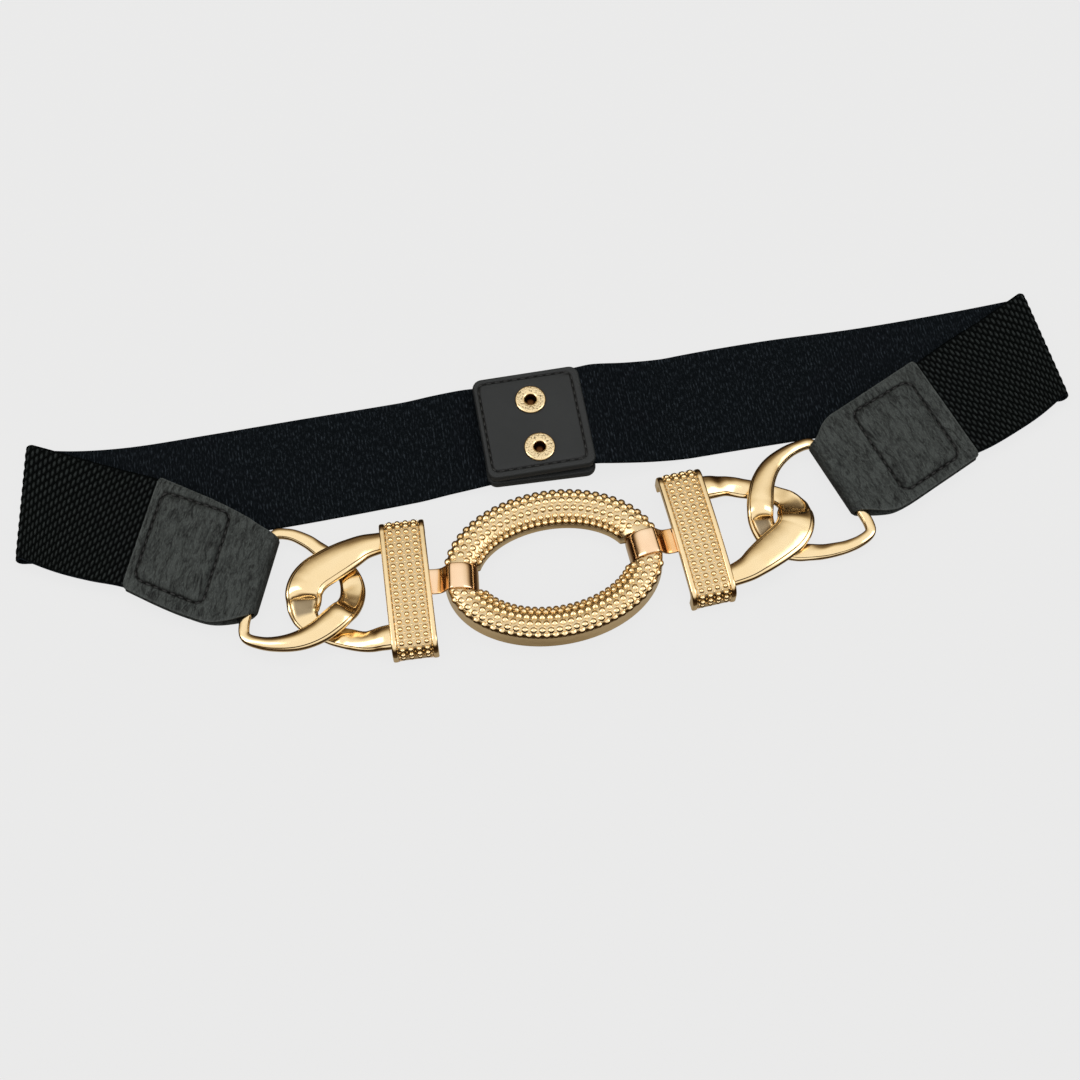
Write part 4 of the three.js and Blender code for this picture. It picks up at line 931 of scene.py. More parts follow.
def plate_body():
    """The channel casting: rounded rims with a groove inside each, a lowered field, and walls, carried
    along the side view."""
    half = PLATE_WIDTH / 2
    field, inner = half - PLATE_RIM, half - PLATE_WALL
    rim = [
        (half - 0.25, PLATE_SKIRT), (half, PLATE_SKIRT - 0.25), (half, 1.4), (half, 0.5), (half - 0.1, 0.22),
        (half - 0.32, 0.04), (half - 0.7, -0.04), (half - 1.2, -0.04), (field + 0.35, 0.02),
        (field + 0.12, 0.16), (field, 0.42), (field - 0.15, 0.52), (field - 0.4, 0.45),
    ]
    middle = [(field - 0.8, FIELD_DROP), (0.0, FIELD_DROP), (0.8 - field, FIELD_DROP)]
    mirrored = [(-x, depth) for x, depth in reversed(rim)]
    under = [
        (-inner, PLATE_SKIRT), (-inner, PLATE_WALL + 0.3), (0.3 - inner, PLATE_WALL),
        (inner - 0.3, PLATE_WALL), (inner, PLATE_WALL + 0.3), (inner, PLATE_SKIRT),
    ]
    section = np.array(rim + middle + mirrored + under)
    _, reach = plate_line(np.zeros(1))
    distances = np.linspace(-reach, reach, 150)
    base, outward = plate_points(distances)
    grid = np.repeat(base[:, None], len(section), axis=1)
    grid[..., 0] = section[:, 0]
    grid = grid - outward[:, None] * section[None, :, 1:]
    # The lowered field between the beads takes 0.3 of the plating's painted shade
    ground = (np.abs(section[:, 0]) < field + 0.05) & (section[:, 1] > 0.3) & (section[:, 1] < 1)
    return skin(grid, mask=np.broadcast_to(0.3 * ground, grid.shape[:2]))


def plate_beads(pitch, radius, height):
    """Four columns of round beads with a small dot between each four. A bead is a ball squashed to its
    height, half sunk into the field."""
    _, reach = plate_line(np.zeros(1))
    field = PLATE_WIDTH / 2 - PLATE_RIM - 0.25
    rows = int(2 * (reach - 1.0) / pitch)
    at = (np.arange(rows) - (rows - 1) / 2) * pitch
    columns = (np.arange(4) - 1.5) * field / 2
    between = (at[:-1] + at[1:]) / 2
    lines = (np.arange(5) - 2) * field / 2 * np.array([0.94, 1, 1, 1, 0.94])
    shapes = []
    for spots, offsets, size, rise, template in (
        (at, columns, radius, height, ball(5, 10)), (between, lines, 0.42, 0.45, ball(4, 8)),
    ):
        base, outward = plate_points(np.repeat(spots, len(offsets)))
        base = base - outward * FIELD_DROP
        base[:, 0] = np.tile(offsets, len(spots))
        across = np.tile([1.0, 0.0, 0.0], (len(base), 1))
        axes = np.stack([across * size, np.cross(outward, across) * size, outward * rise], axis=1)
        shapes.append((template, base, axes))
    return shapes


def plate_parts(side, pitch, radius, height, dents):
    """The plate, its link, its cross rod and its beads, all in the plan."""
    place = PLATE_PLACES[side]
    body = plate_body()
    body.points = in_plan(body.points, place)
    grid, mask = wire_link(PLATE_LINK, False, dents, HOLLOW_SHADE_SHARES["plate", side])
    link = skin(in_plan(grid, place), mask=mask)
    rod_end = PLATE_LENGTH / 2 - 0.75
    turn = 2 * np.pi * np.arange(20) / 20
    lengths = np.linspace(-rod_end, rod_end, 12)
    rod = np.stack([
        np.broadcast_to(ROD_X + ROD_RADIUS * np.cos(turn), (12, 20)),
        np.broadcast_to(lengths[:, None], (12, 20)),
        np.broadcast_to(rod_height() + ROD_RADIUS * np.sin(turn), (12, 20)),
    ], axis=-1)
    shapes = [body, link, skin(in_plan(rod, place))]
    for template, base, axes in plate_beads(pitch, radius, height):
        shapes.append(copies(template, in_plan(base, place), in_plan(axes, (0, 0, place[2]))))
    return shapes


def strip_level():
    """Height of a strip's middle between plate and oval: just under the plate's skirt."""
    return PLATE_HEIGHT - PLATE_SKIRT - STRIP_UNDER_SKIRT - STRIP_THICKNESS / 2


def rod_height():
    """Height of the middle of the rod that a strip curls round."""
    return strip_level() - STRIP_THICKNESS / 2 - CURL_GAP - ROD_RADIUS


# Strips


def strip_place(side):
    """A strip's own frame: its plate's, moved across it and turned a little."""
    turn, shift = STRIP_TURNS[side]
    x, y, plate_turn = slide_across(PLATE_PLACES[side], shift)
    return (x, y, plate_turn + turn)


def tube_start(side):
    """How far along a strip the oval's outer edge lies: the end of the oval's long axis, measured along
    the strip."""
    end = plan_turn(np.float64(OVAL_PLACE[2])) * OVAL_LENGTH / 2 * (-1 if side == "left" else 1)
    x, y, turn = strip_place(side)
    return float((end[:2] + np.array(OVAL_PLACE[:2]) - (x, y)) @ plan_turn(np.float64(turn))[:2])


def strip_line(side):
    """Side view of a strip: three quarters of a circle round the rod, a ramp, a part of an ellipse over the
    tube, and a quarter circle under it."""
    start = tube_start(side)
    curl = np.radians(np.linspace(CURL_START, CURL_END, 9))
    radius = ROD_RADIUS + CURL_GAP + STRIP_THICKNESS / 2
    around = np.stack([ROD_X + radius * np.cos(curl), rod_height() + radius * np.sin(curl)], axis=1)
    clear = GAP + STRIP_THICKNESS / 2
    middle = start + OVAL_TUBE / 2
    outer_reach = OVAL_TUBE / 2 + clear
    inner_reach = outer_reach - STRIP_SEAT
    over = np.radians(np.linspace(STRIP_LANDING, 0, 11))
    reach = np.where(np.cos(over) < 0, outer_reach, inner_reach)
    tube = np.stack([
        middle + reach * np.cos(over),
        OVAL_Z + dome_foot(-np.cos(over)) + (OVAL_DOME + clear) * np.sin(over)], axis=1)
    down = np.radians([-22.5, -45, -67.5, -90])
    low = STRIP_THICKNESS / 2
    tuck = np.stack([
        middle + inner_reach - CURL_RADIUS + CURL_RADIUS * np.cos(down),
        low + CURL_RADIUS + CURL_RADIUS * np.sin(down)], axis=1)
    ramp = np.array([[start - STRIP_RAMP, strip_level()]])
    tail = np.array([[middle + STRIP_TAIL, low]])
    line = np.vstack([around, ramp, tube, tuck, tail])
    rows = smooth_rows(np.column_stack([line[:, 0], np.zeros(len(line)), line[:, 1]]), 5)
    return rows[:, [0, 2]]


def strip_body(side):
    """A flat bar with edges rounded by a power of 0.35 of the cosine and sine, carried along the side
    view."""
    line = strip_line(side)
    along = unit(np.gradient(line, axis=0))
    turn = 2 * np.pi * (np.arange(36) + 0.5) / 36
    power = 0.35
    beside = STRIP_WIDTH / 2 * np.sign(np.cos(turn)) * np.abs(np.cos(turn)) ** power
    above = STRIP_THICKNESS / 2 * np.sign(np.sin(turn)) * np.abs(np.sin(turn)) ** power
    grid = np.stack([
        line[:, :1] - along[:, 1:] * above, np.broadcast_to(beside, (len(line), 36)),
        line[:, 1:] + along[:, :1] * above,
    ], axis=-1)
    return skin(in_plan(grid, strip_place(side)))


# Oval ring


def oval_line(turn):
    """The oval's middle line, an ellipse, and the direction out of it, at angles of the ellipse."""
    a, b = (OVAL_LENGTH - OVAL_TUBE) / 2, (OVAL_WIDTH - OVAL_TUBE) / 2
    flat = np.zeros_like(turn)
    points = np.stack([a * np.cos(turn), b * np.sin(turn), flat + OVAL_Z], axis=-1)
    return points, unit(np.stack([b * np.cos(turn), a * np.sin(turn), flat], axis=-1))


def dome_foot(outward):
    """Height of the dome's foot over the oval's base: the outer shoulder where outward is 1, the inner skirt
    where it is -1, and a straight line between them."""
    return OVAL_SKIRT + (OVAL_SHOULDER - OVAL_SKIRT) * (1 + outward) / 2


def even_turns(count):
    """Angles of the ellipse that lie equally far apart along it: the length along a fine polygon, read
    backwards at equal steps."""
    fine = np.linspace(0, 2 * np.pi, 2001)
    points, _ = oval_line(fine)
    length = np.concatenate([[0], np.cumsum(np.linalg.norm(np.diff(points, axis=0), axis=1))])
    return np.interp(np.arange(count) * length[-1] / count, length, fine)


def seat_strips(points):
    """Points of the oval moved in to lie under the strips: on a strip's inner half, a point outside the
    ellipse of the strip's underside is brought back to it along the line to its middle."""
    for side in SIDES:
        x, y, turn = strip_place(side)
        own = in_plan(points - (x, y, 0), (0, 0, -turn))
        middle = tube_start(side) + OVAL_TUBE / 2
        reach = OVAL_TUBE / 2 + GAP - STRIP_SEAT - 0.1
        rise = OVAL_DOME + GAP - 0.1
        dx = own[..., 0] - middle
        level = OVAL_Z + dome_foot(-np.clip(dx / reach, -1, 1))
        dz = np.maximum(own[..., 2] - level, 0)
        size = np.hypot(dx / reach, dz / rise)
        under = (np.abs(own[..., 1]) < STRIP_WIDTH / 2 + 0.25) & (dx > 0) & (dx < OVAL_TUBE) & (size > 1)
        shrink = np.where(under, 1 / np.maximum(size, 1e-6), 1)
        own[..., 0] = middle + dx * shrink
        own[..., 2] = np.where(own[..., 2] > level, level + dz * shrink, own[..., 2])
        points = in_plan(own, (x, y, turn))
    return points


def clear_of_strips(points):
    """Whether each point lies beside both strips rather than under one."""
    clear = np.ones(len(points), bool)
    for side in SIDES:
        x, y, turn = strip_place(side)
        own = in_plan(points - (x, y, 0), (0, 0, -turn))
        start = tube_start(side)
        across = np.abs(own[:, 1]) < STRIP_WIDTH / 2 + 0.9
        clear &= ~(across & (own[:, 0] > start - 2) & (own[:, 0] < start + OVAL_TUBE + 2))
    return clear


def oval_body():
    """A dome on straight skirts, hollow underneath, carried round the ellipse."""
    turns = even_turns(420)
    middle, outward = oval_line(turns)
    half = OVAL_TUBE / 2
    dome = np.linspace(0, np.pi, 31)
    top = np.stack([half * np.cos(dome), dome_foot(np.cos(dome)) + OVAL_DOME * np.sin(dome)], axis=1)
    outer, inner = half - OVAL_WALL, half - OVAL_INNER_WALL
    ceiling = dome_foot(0) + OVAL_DOME - OVAL_WALL
    foot = [
        (half + OVAL_FLARE - 0.3, -OVAL_DROP), (half + OVAL_FLARE, 0.3 - OVAL_DROP),
        (half + 0.5 * OVAL_FLARE, 2.2),
        (half, OVAL_SHOULDER - 0.3),
    ]
    heel = [(-half, 1.2), (-half, 0.3), (0.3 - half, 0.0)]
    hollow = [
        (-inner, 0.0), (-inner, OVAL_SKIRT), (0.0, ceiling), (outer, OVAL_SHOULDER - OVAL_WALL / 2),
        (outer + OVAL_FLARE, -OVAL_DROP),
    ]
    section = np.vstack([foot, top, heel, hollow])
    grid = middle[:, None] + outward[:, None] * section[None, :, :1]
    grid[..., 2] = OVAL_Z + section[:, 1]
    grid = in_plan(grid, OVAL_PLACE)
    columns = len(foot) + len(top) + len(heel)
    grid[:, :columns] = seat_strips(grid[:, :columns])
    # The dome between the beads takes 0.3 of the plating's painted shade
    ground = (np.arange(len(section)) >= len(foot)) & (np.arange(len(section)) < len(foot) + len(top))
    return skin(grid, round_rows=True, mask=np.broadcast_to(0.3 * ground, grid.shape[:2]))


def oval_beads(count, radius, height):
    """Six rows of round beads on the dome, every second row moved on by half a step, and small dots
    between them. None lies under a strip."""
    shapes = []
    for rows, size, rise, half_step, template in (
        (np.radians(23 + 26.8 * np.arange(6)), radius, height, 0.0, ball(5, 10)),
        (np.radians(36.4 + 26.8 * np.arange(5)), 0.4, 0.42, 0.25, ball(4, 8)),
    ):
        for k, tilt in enumerate(rows):
            steps = (np.arange(count) + half_step + 0.5 * (k % 2)) / count
            turns = np.interp(
                steps % 1, np.arange(count * 4 + 1) / (count * 4),
                np.append(even_turns(count * 4), 2 * np.pi),
            )
            middle, outward = oval_line(turns)
            up = np.tile([0.0, 0.0, 1.0], (count, 1))
            a, b = OVAL_TUBE / 2, OVAL_DOME
            centre = middle + outward * a * np.cos(tilt) + up * (dome_foot(np.cos(tilt)) + b * np.sin(tilt))
            lean = (OVAL_SHOULDER - OVAL_SKIRT) / 2
            normal = unit(outward * (b * np.cos(tilt) - lean * np.sin(tilt)) + up * a * np.sin(tilt))
            along = np.cross(up, outward)
            beside = np.cross(normal, along)
            squeeze = 1 + np.cos(tilt) * 0.1
            axes = np.stack([along * size * squeeze, beside * size, normal * rise], axis=1)
            centre = in_plan(centre, OVAL_PLACE)
            keep = clear_of_strips(centre)
            shapes.append(copies(template, centre[keep], in_plan(axes[keep], (0, 0, OVAL_PLACE[2]))))
    return shapes


# Snap patches and snaps


def rounded_ring(inset, straight=14, corner_steps=8):
    """Points round a rectangle with rounded corners, brought in by an inset: each corner's centre, plus its
    radius times the cosine and sine of the angle, with even points along the sides between them."""
    a, b = PATCH_LENGTH / 2 - inset, PATCH_WIDTH / 2 - inset
    radius = max(PATCH_CORNER - inset, 0.05)
    signs = np.array([(1, 1), (-1, 1), (-1, -1), (1, -1)])
    centres = signs * (a - radius, b - radius)
    angle = np.radians(np.array([0, 90, 180, 270])[:, None] + np.linspace(0, 90, corner_steps))
    arcs = centres[:, None] + radius * np.stack([np.cos(angle), np.sin(angle)], axis=-1)
    part = np.linspace(0, 1, straight + 2)[1:-1, None]
    sides = arcs[:, -1:] * (1 - part) + np.roll(arcs, -1, axis=0)[:, :1] * part
    return np.concatenate([arcs, sides], axis=1).reshape(-1, 2)


def seam_distance(x, y, seam):
    """Signed distance to the stitched line, positive inside: a rectangle with rounded corners of 2.2 mm."""
    low_x, high_x, low_y, high_y = seam
    corner = 2.2
    ends = np.minimum(x - low_x, high_x - x)
    sides = np.minimum(y - low_y, high_y - y)
    nearest = np.minimum(ends, sides)
    round_off = corner - np.hypot(np.maximum(corner - ends, 0), np.maximum(corner - sides, 0))
    return np.where(nearest > corner, nearest, round_off)


def patch_body(place, base_z, seam, seed):
    """Rings of a rounded rectangle, from the middle of the underside out round the edge and in over the
    top. The edge is a half round with a parting line, and the top has a stitched groove and a slight
    swell."""
    side_turn = np.linspace(-np.pi / 2, np.pi / 2, 15)
    bulge = 1.0
    height = PATCH_THICKNESS / 2
    edge_inset = bulge * (1 - np.cos(side_turn))
    edge_z = height + height * np.sin(side_turn)
    parting = 0.12 * np.exp(-(side_turn / 0.16) ** 2)
    under = np.array([17.0, 12, 8, 5, 3, 1.8])
    over = np.concatenate([np.arange(1.3, 6.6, 0.25), [7.5, 9, 11, 13, 15, 17]])
    insets = np.concatenate([under, edge_inset + parting, over])
    levels = np.concatenate([np.zeros(len(under)), edge_z, np.full(len(over), PATCH_THICKNESS)])
    rings = np.stack([rounded_ring(d) for d in insets])
    on_top = np.arange(len(insets)) >= len(under) + len(side_turn) - 2
    distance = seam_distance(rings[..., 0], rings[..., 1], seam)
    groove = np.exp(-(distance / 0.36) ** 2)
    noise = value_noise(rings, 6.5, seed)
    relief = np.where(
        on_top[:, None], 0.12 * smooth_step(0, 2.5, distance) - 0.42 * groove + 0.06 * noise - 0.12, 0
    )
    grid = np.concatenate([rings, (levels[:, None] + relief)[..., None]], axis=-1)
    grid[..., 2] += base_z
    # The groove's mask darkens it near black in the material: painted shade
    mask = np.where(on_top[:, None], np.minimum(1.5 * groove, 1), 0)
    return skin(in_plan(grid, place), mask=mask)


def patch_stitches(place, base_z, seam, pitch, thickness):
    """Stitches along the seam of a patch's top."""
    low_x, high_x, low_y, high_y = seam
    corners = np.array([(low_x, low_y), (high_x, low_y), (high_x, high_y), (low_x, high_y)])
    top = base_z + PATCH_THICKNESS - 0.42

    def heights(x, y):
        return top + np.zeros_like(x)

    centres, axes = stitches(rounded_loop(corners, 2.4, 7), heights, pitch, thickness)
    return copies(ball(5, 8), in_plan(centres, place), in_plan(axes, (0, 0, place[2])), slots=1)


def turned_ring(profile, spot, sides=64, slots=0):
    """A closed profile of radius and height turned about a vertical axis."""
    turn = 2 * np.pi * np.arange(sides) / sides
    profile = np.asarray(profile, float)
    grid = np.stack([
        profile[None, :, 0] * np.cos(turn)[:, None], profile[None, :, 0] * np.sin(turn)[:, None],
        np.broadcast_to(profile[:, 1], (sides, len(profile))),
    ], axis=-1)
    return skin(grid + (spot[0], spot[1], 0), round_rows=True, slots=slots)


def snap_ring(spot):
    """Eyelet half: a rounded rim, a flat stippled band, and a tube down to a flange."""
    seat = UPPER_PATCH_Z + PATCH_THICKNESS + GAP / 2
    under = UPPER_PATCH_Z - GAP / 2
    outer = [
        (SNAP_RADIUS, seat), (5.38, seat + 0.25), (5.28, seat + 0.5), (5.1, seat + 0.68), (4.85, seat + 0.76),
    ]
    band = [(4.5, seat + 0.78), (3.9, seat + 0.78), (3.3, seat + 0.78), (2.75, seat + 0.77)]
    lip = [(2.45, seat + 0.72), (2.2, seat + 0.6), (2.05, seat + 0.4)]
    bore = [
        (SNAP_BORE, seat + 0.2), (SNAP_BORE, UPPER_PATCH_Z), (SNAP_BORE, under - 0.2),
        (2.3, under - 0.45), (4.7, under - 0.45), (4.7, under), (SNAP_TUBE, under), (SNAP_TUBE, seat),
    ]
    # The bore's inner wall, slot 2, is dark brown as painted shade
    slots = [0] * len(outer) + [1] * len(band) + [0] * len(lip) + [2] * 3 + [0] * (len(bore) - 3)
    slots[len(outer) - 1] = 1
    slots[len(outer) + len(band) - 1] = 0
    return turned_ring(outer + band + lip + bore, spot, slots=np.array(slots))


def snap_cap(spot):
    """Stud half: a low domed cap underneath, its stem, a flange over the lower patch and a post, dark brown
    as painted shade.
    """
    over = LOWER_PATCH_Z + PATCH_THICKNESS + GAP / 2
    top = UPPER_PATCH_Z + PATCH_THICKNESS / 2
    profile = [
        (0.02, 0.0), (4.6, 0.0), (5.0, 0.1), (5.25, 0.3), (5.3, 0.55), (5.2, 0.8), (5.0, 0.9),
        (SNAP_TUBE, 0.9),
        (SNAP_TUBE, over), (4.7, over), (4.75, over + 0.12), (4.6, over + 0.27),
        (SNAP_POST + 0.3, over + 0.27),
        (SNAP_POST, over + 0.6), (SNAP_POST - 0.15, top - 0.8), (SNAP_POST, top - 0.2), (SNAP_POST, top),
        (SNAP_POST - 0.25, top + 0.35), (SNAP_POST - 0.8, top + 0.5), (0.02, top + 0.5),
    ]
    # The post, slot 1, is dark brown as painted shade
    post_start = 12
    slots = np.where(np.arange(len(profile)) < post_start, 0, 1)
    return turned_ring(profile, spot, slots=slots)


# Materials of the snaps


def pressed_band(name, colour, deep):
    """Gold plate on the pressed face of a snap ring: a fine stipple of dots 0.5 mm apart, darker between them
    as painted shade."""
    material, tree, shader, place = start_material(name, metallic=1.0)
    dots = add_node(tree, "ShaderNodeTexVoronoi", {"Vector": place, "Scale": 1.6, "Randomness": 0.9})
    away = dots.outputs["Distance"]
    # Painted shade in the low ground between the dots
    stipple_shade = remap_node(tree, away, source=(0.55, 0.75))
    colours = mix_node(tree, stipple_shade, rgba(colour), rgba(deep, 0.3))
    rough = remap_node(tree, away, target=(0.15, 0.4))
    link_shader(tree, shader, colours, rough, bump_node(tree, away, 0.5, 0.0002, invert=True))
    return material


def shaded_brass(name, colour):
    """Brass inside a snap's bore and on the studs' posts, dark brown as painted shade and mottled lighter at
    random.
    """
    material, tree, shader, place = start_material(name, metallic=1.0)
    shade_mottle = noise_node(tree, place, 0.8, 3.0)
    colours = mix_node(tree, shade_mottle, rgba(colour), rgba(colour, 2.0))
    link_shader(tree, shader, colours, remap_node(tree, shade_mottle, target=(0.3, 0.55)))
    return material


# Settings


def length(name, description, default):
    return FloatProperty(
        name=name, description=description, default=default, unit="LENGTH", precision=5, min=0
    )


def colour(name, description, code):
    return FloatVectorProperty(
        name=name, description=description, default=linear(code), subtype="COLOR", size=3, min=0, max=1
    )


class WebbingSettings(bpy.types.PropertyGroup):
    float_pitch: length("Float pitch", "Distance between columns of yarn floats along the band", 0.00142)
    float_length: length("Float spacing", "Distance between yarn floats across the band", 0.0033)
    float_relief: length("Float relief", "How far the yarn floats stand out of the face", 0.00026)
    ground: colour("Ground", "Colour between the floats", "#010202")
    # Floats' tops get this colour as painted highlight
    floats: colour("Floats", "Colour of the tops of the floats", "#282C2C")
    inner: colour("Inner face", "Colour of the plain inner face", "#06090C")
    # Lighter yarn, partly painted highlight on the ribs' crests
    inner_yarn: colour("Inner yarn", "Colour of the lighter yarn of the inner face", "#2A3036")


class LeatherSettings(bpy.types.PropertyGroup):
    window_rise: length("Window rise", "How far the padded window stands out of a tab", 0.0009)
    stitch_pitch: length("Stitch pitch", "Distance from one stitch to the next", 0.003)
    thread: length("Thread", "Thickness of the sewing thread", 0.00065)
    # Creases get the first colour and grain tops the second, partly as painted shade and highlight
    tab: colour("Tab", "Colour in the creases of the pebbled leather", "#111313")
    tab_grain_highlight: colour("Tab grain", "Colour of the tops of the grain", "#383C3B")
    patch: colour("Patch", "Colour of the smooth leather", "#202223")
    patch_light: colour("Patch highlights", "Lighter colour of the smooth leather", "#282A2B")
    stitching: colour("Stitching", "Colour of the sewing thread", "#060707")


class MetalSettings(bpy.types.PropertyGroup):
    plate_bead_pitch: length("Plate bead pitch", "Distance between rows of beads on a plate", 0.0025)
    plate_bead_radius: length("Plate bead radius", "Radius of a plate's beads", 0.00098)
    oval_bead_count: IntProperty(
        name="Oval beads", description="Beads in each row round the oval", default=62, min=8
    )
    oval_bead_radius: length("Oval bead radius", "Radius of the oval's beads", 0.00116)
    bead_height: length("Bead height", "How far a bead stands out of its field", 0.0009)
    dents: length("Dents", "Depth of the hammer marks on the links' thin arms", 0.0003)
    gold: colour("Gold", "Pale gold plate", "#F6DFB3")
    gold_deep: colour("Deep gold", "Gold plate where it is thicker", "#F0D3A0")
    rose: colour("Rose gold", "Plate of the flat strips", "#FDE4C2")
    rose_deep: colour("Deep rose gold", "Plate of the strips where it is thicker", "#F0C49A")
    # Dark brown for the snaps' bores and posts: painted shade
    socket: colour("Snap socket", "Brass inside a snap", "#4A2E18")


class StageSettings(bpy.types.PropertyGroup):
    floor: colour("Floor", "Colour of the studio floor", "#EAEAEA")
    soft_light: FloatProperty(
        name="Soft light", description="Power of the large soft light overhead", default=9.0, unit="POWER"
    )


# Operators, one for each group of pieces


class BELT_OT_webbing(bpy.types.Operator):
    """The two halves of the elastic waistband, woven outside and plain inside"""

    bl_idname = "belt.webbing"
    bl_label = "Elastic webbing"

    def execute(self, context):
        sizes = context.scene.belt_webbing
        outer = woven_outer(
            "Black elastic webbing, outer face", sizes.ground, sizes.floats,
            sizes.float_pitch * MM, sizes.float_length * MM, sizes.float_relief)
        inner = woven_inner("Black elastic webbing, inner face", sizes.inner, sizes.inner_yarn)
        for side in SIDES:
            shape, reach = webbing(
                side, sizes.float_pitch * MM, sizes.float_length * MM, sizes.float_relief * MM
            )
            band = make_piece(f"band_{side}", [shape], [outer, inner])
            stand_for(band, f"elastic_{side}")
        return {"FINISHED"}


class BELT_OT_tabs(bpy.types.Operator):
    """The pebbled leather tabs folded round the links' bars, with their padded windows and stitches"""

    bl_idname = "belt.tabs"
    bl_label = "Leather tabs"

    def execute(self, context):
        sizes = context.scene.belt_leather
        hide = pebbled_leather("Pebbled cowhide", sizes.tab, sizes.tab_grain_highlight)
        thread = waxed_thread("Waxed polyester thread", sizes.stitching)
        for side in SIDES:
            leather = tab_leather(side, sizes.window_rise * MM)
            sewn = tab_stitches(side, sizes.window_rise * MM, sizes.stitch_pitch * MM, sizes.thread * MM)
            tab = make_piece(f"folded_tab_{side}", [leather, sewn], [hide, thread], sharp=60.0)
            stand_for(tab, f"tab_{side}")
        return {"FINISHED"}


class BELT_OT_strap_links(bpy.types.Operator):
    """The two cast curb links whose bars run through the leather"""

    bl_idname = "belt.strap_links"
    bl_label = "Strap links"

    def execute(self, context):
        sizes = context.scene.belt_metal
        gold = plated_casting("Gold plated zinc", sizes.gold, sizes.gold_deep)
        for side in SIDES:
            place = slide_across(TAB_PLACES[side], LINK_SLIDES[side])
            grid, mask = wire_link(STRAP_LINK, True, sizes.dents * MM, HOLLOW_SHADE_SHARES["strap", side])
            wire = skin(in_plan(grid, place), round_rows=True, mask=mask)
            link = make_piece(f"curb_link_{side}", [wire], [gold])
            stand_for(link, f"strap_link_{side}")
        return {"FINISHED"}


class BELT_OT_plates(bpy.types.Operator):
    """The two beaded plates, each cast in one with the curb link that interlocks with the strap link"""

    bl_idname = "belt.plates"
    bl_label = "Beaded plates"

    def execute(self, context):
        sizes = context.scene.belt_metal
        gold = plated_casting("Gold plated zinc, plates", sizes.gold, sizes.gold_deep)
        for side in SIDES:
            shapes = plate_parts(
                side, sizes.plate_bead_pitch * MM, sizes.plate_bead_radius * MM, sizes.bead_height * MM,
                sizes.dents * MM,
            )
            plate = make_piece(f"beaded_plate_{side}", shapes, [gold])
            stand_for(plate, f"plate_link_{side}")
        return {"FINISHED"}


class BELT_OT_strips(bpy.types.Operator):
    """The flat rose gold strips that hook the plates to the oval"""

    bl_idname = "belt.strips"
    bl_label = "Flat strips"

    def execute(self, context):
        sizes = context.scene.belt_metal
        rose = plated_strip("Rose gold plated steel", sizes.rose, sizes.rose_deep)
        for side in SIDES:
            strip = make_piece(f"flat_strip_{side}", [strip_body(side)], [rose])
            stand_for(strip, f"strip_hook_{side}")
        return {"FINISHED"}


class BELT_OT_oval(bpy.types.Operator):
    """The hollow-backed beaded oval in the middle"""

    bl_idname = "belt.oval"
    bl_label = "Beaded oval"

    def execute(self, context):
        sizes = context.scene.belt_metal
        gold = plated_casting("Gold plated zinc, oval", sizes.gold, sizes.gold_deep)
        beads = oval_beads(sizes.oval_bead_count, sizes.oval_bead_radius * MM, sizes.bead_height * MM)
        oval = make_piece("beaded_oval", [oval_body(), *beads], [gold])
        stand_for(oval, "oval_ring")
        return {"FINISHED"}


class BELT_OT_patches(bpy.types.Operator):
    """The two padded leather patches that close the belt at the back"""

    bl_idname = "belt.patches"
    bl_label = "Snap patches"

    def execute(self, context):
        sizes = context.scene.belt_leather
        hide = smooth_leather("Smooth coated leather", sizes.patch, sizes.patch_light)
        thread = waxed_thread("Waxed polyester thread, patches", sizes.stitching)
        spots = [snap_spot(side) for side in (-1, 1)]
        for level, place, base, seed in (
            ("upper", UPPER_PATCH_PLACE, UPPER_PATCH_Z, 21), ("lower", LOWER_PATCH_PLACE, LOWER_PATCH_Z, 22),
        ):
            body = patch_body(place, base, PATCH_SEAM, seed)
            sewn = patch_stitches(place, base, PATCH_SEAM, sizes.stitch_pitch * MM, sizes.thread * MM)
            patch = make_piece(f"closing_patch_{level}", [body, sewn], [hide, thread], sharp=60.0)
            drill(patch, spots, SNAP_TUBE + GAP)
            stand_for(patch, f"snap_patch_{level}")
        return {"FINISHED"}


class BELT_OT_snaps(bpy.types.Operator):
    """The two snaps: eyelet rings on the upper patch and studs through the lower one"""

    bl_idname = "belt.snaps"
    bl_label = "Snaps"

    def execute(self, context):
        sizes = context.scene.belt_metal
        gold = plated_casting("Gold plated brass", sizes.gold, sizes.gold_deep)
        band = pressed_band("Stippled gold plated brass", sizes.gold, sizes.gold_deep)
        # Bores and posts are darkened as painted shade
        socket = shaded_brass("Brass in painted shade", sizes.socket)
        for where, side in (("front", -1), ("back", 1)):
            spot = snap_spot(side)
            eyelet = make_piece(f"snap_eyelet_{where}", [snap_ring(spot)], [gold, band, socket], sharp=50.0)
            stand_for(eyelet, f"snap_ring_{where}")
            stud = make_piece(f"snap_stud_{where}", [snap_cap(spot)], [gold, socket], sharp=50.0)
            stand_for(stud, f"snap_cap_{where}")
        return {"FINISHED"}


def glowing_paper(colour):
    """Pale paper that glows a little by itself, so that shadows on it stay pale."""
    material, tree, shader, place = start_material("Pale paper", roughness=0.9, specular_ior_level=0.1)
    fibres = noise_node(tree, place, 0.02, 2.0)
    dim, light = (rgba(tuple(share * FLOOR_DIFFUSE * c for c in colour)) for share in (0.96, 1.04))
    link_shader(tree, shader, mix_node(tree, fibres, dim, light))
    shader.inputs["Emission Color"].default_value = rgba(colour)
    shader.inputs["Emission Strength"].default_value = FLOOR_GLOW
    return material


